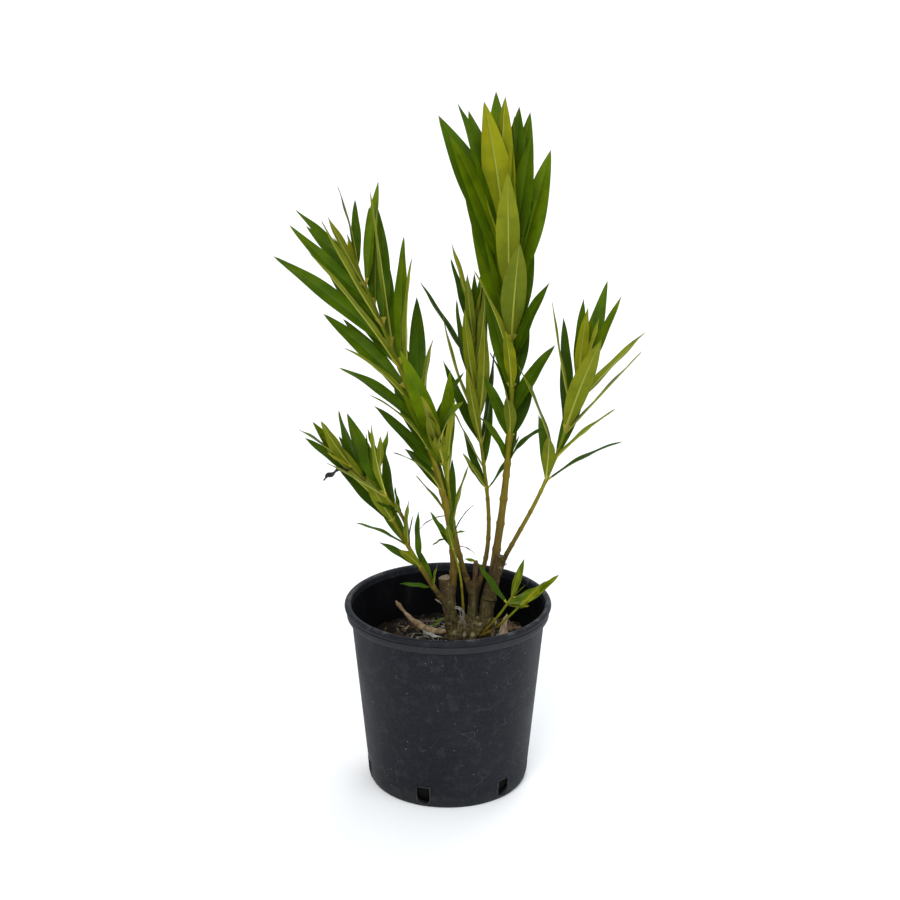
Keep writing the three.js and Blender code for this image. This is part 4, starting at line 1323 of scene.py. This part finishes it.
add_limb(fallen, Curve(QUILL_PATH), 0, 1, quill_radius, sides=32, steps=70)
fallen_leaves = fallen.piece("fallen_leaves", [dry_leaf, silvery_leaf, bleached_leaf], sharp_over=55)
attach(fallen_leaves, "root")

# Each seedling: its place, its height, and the lengths of its round leaves.
SEEDLINGS = [((-12, 19), 11, (8, 5.5)), ((-17, 12), 8, (7, 4.5))]
seedlings = Pile()
for place, tall, leaves in SEEDLINGS:
    foot = on_soil(place[0] * MM, place[1] * MM, -1 * MM) / MM
    top = foot + Vector((0.8, -0.6, tall))
    add_limb(seedlings, Curve([foot, foot.lerp(top, 0.3), foot.lerp(top, 0.7), top]), 0, 1,
             lambda t, _: 0.4 * MM, sides=6, steps=4, kind=RIB_PLACE)
    for index, length in enumerate(leaves):
        angle = 2 * math.pi * index / len(leaves) + 0.4
        way = Vector((math.cos(angle), math.sin(angle), 0.45))
        leaf = curled_leaf(top * MM, way, length, length * 0.75, 25, 90 + index)
        add_blade(seedlings, leaf, kinds_for(2), rows=12, ripple=0.1 * MM)
# One small green leaf still grows from the end of the peg on the middle stump.
PEG_END = Vector((29.4, -0.8, 248))
peg_leaf = curled_leaf(PEG_END * MM, (-0.95, -0.35, 0.25), 12, 3.6, 40, 97, 1.2)
add_blade(seedlings, peg_leaf, kinds_for(1), rows=14, ripple=0.1 * MM)
weed_seedlings = seedlings.piece("weed_seedlings", leaf_skins, sharp_over=55)
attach(weed_seedlings, "root")


# ---------------------------------------------------------------------------------------------
# The studio: a pale sweep of paper under and behind the pot, two broad soft lamps in front with one
# more behind, a pale sky, and the camera, which stands higher than the plant and looks down on it.

SWEEP_WIDTH = 6.0
SWEEP_FRONT = -3.0
SWEEP_BACK = 2.4
SWEEP_BEND = 0.8
SWEEP_HEIGHT = 3.2
SWEEP_STEPS = 16
CAMERA_PLACE = Vector((0.0022, -1.8966, 1.0056))
CAMERA_AIM = Vector((0.0022, 0, 0.371))

paper = Finish("paper", roughness=0.9, specular=0.1)
paper.graded(paper.noise(3, detail=2), [(0.3, (0.90, 0.90, 0.90)), (0.7, (0.93, 0.93, 0.93))])
paper.bump(paper.noise(900, detail=2), 0.05, 0.0002)
section = [(SWEEP_FRONT, 0.0), (SWEEP_BACK - SWEEP_BEND, 0.0)]
for step in range(1, SWEEP_STEPS + 1):
    angle = math.radians(90 * step / SWEEP_STEPS)
    y = SWEEP_BACK - SWEEP_BEND * (1 - math.sin(angle))
    section.append((y, SWEEP_BEND * (1 - math.cos(angle))))
section.append((SWEEP_BACK, SWEEP_HEIGHT))
sweep = Pile()
edges = [Vector((side * SWEEP_WIDTH / 2, y, z)) for y, z in section for side in (-1, 1)]
sweep.add(edges, [(2 * i, 2 * i + 1, 2 * i + 3, 2 * i + 2) for i in range(len(section) - 1)])
paper_sweep = sweep.piece("paper_sweep", [paper])


def add_lamp(name, place, towards, size, power, colour):
    light = bpy.data.lights.new(name, "AREA")
    light.shape = "DISK"
    light.size = size
    light.energy = power
    light.color = colour
    lamp = bpy.data.objects.new(name, light)
    lamp.location = place
    lamp.rotation_euler = (Vector(towards) - Vector(place)).to_track_quat("-Z", "Y").to_euler()
    bpy.context.scene.collection.objects.link(lamp)


add_lamp("key_lamp", (-0.6, -2.15, 1.9), (0, 0, 0.35), 1.5, 43, (1.0, 0.985, 0.96))
add_lamp("fill_lamp", (1.9, -1.5, 1.2), (0, 0, 0.35), 2.0, 22, (0.90, 0.95, 1.0))
add_lamp("back_lamp", (0.6, 1.5, 2.2), (0, 0, 0.4), 1.6, 24, (1.0, 1.0, 1.0))

sky = bpy.data.worlds.new("pale_sky")
sky.use_nodes = True
sky.node_tree.nodes["Background"].inputs["Color"].default_value = (0.90, 0.95, 1.0, 1)
sky.node_tree.nodes["Background"].inputs["Strength"].default_value = 0.8
bpy.context.scene.world = sky
bpy.context.scene.view_settings.view_transform = "Standard"

camera_data = bpy.data.cameras.new("camera")
camera_data.lens = 77.2
camera_data.sensor_width = 36
camera = bpy.data.objects.new("camera", camera_data)
camera.location = CAMERA_PLACE
camera.rotation_euler = (CAMERA_AIM - CAMERA_PLACE).to_track_quat("-Z", "Y").to_euler()
bpy.context.scene.collection.objects.link(camera)
bpy.context.scene.camera = camera
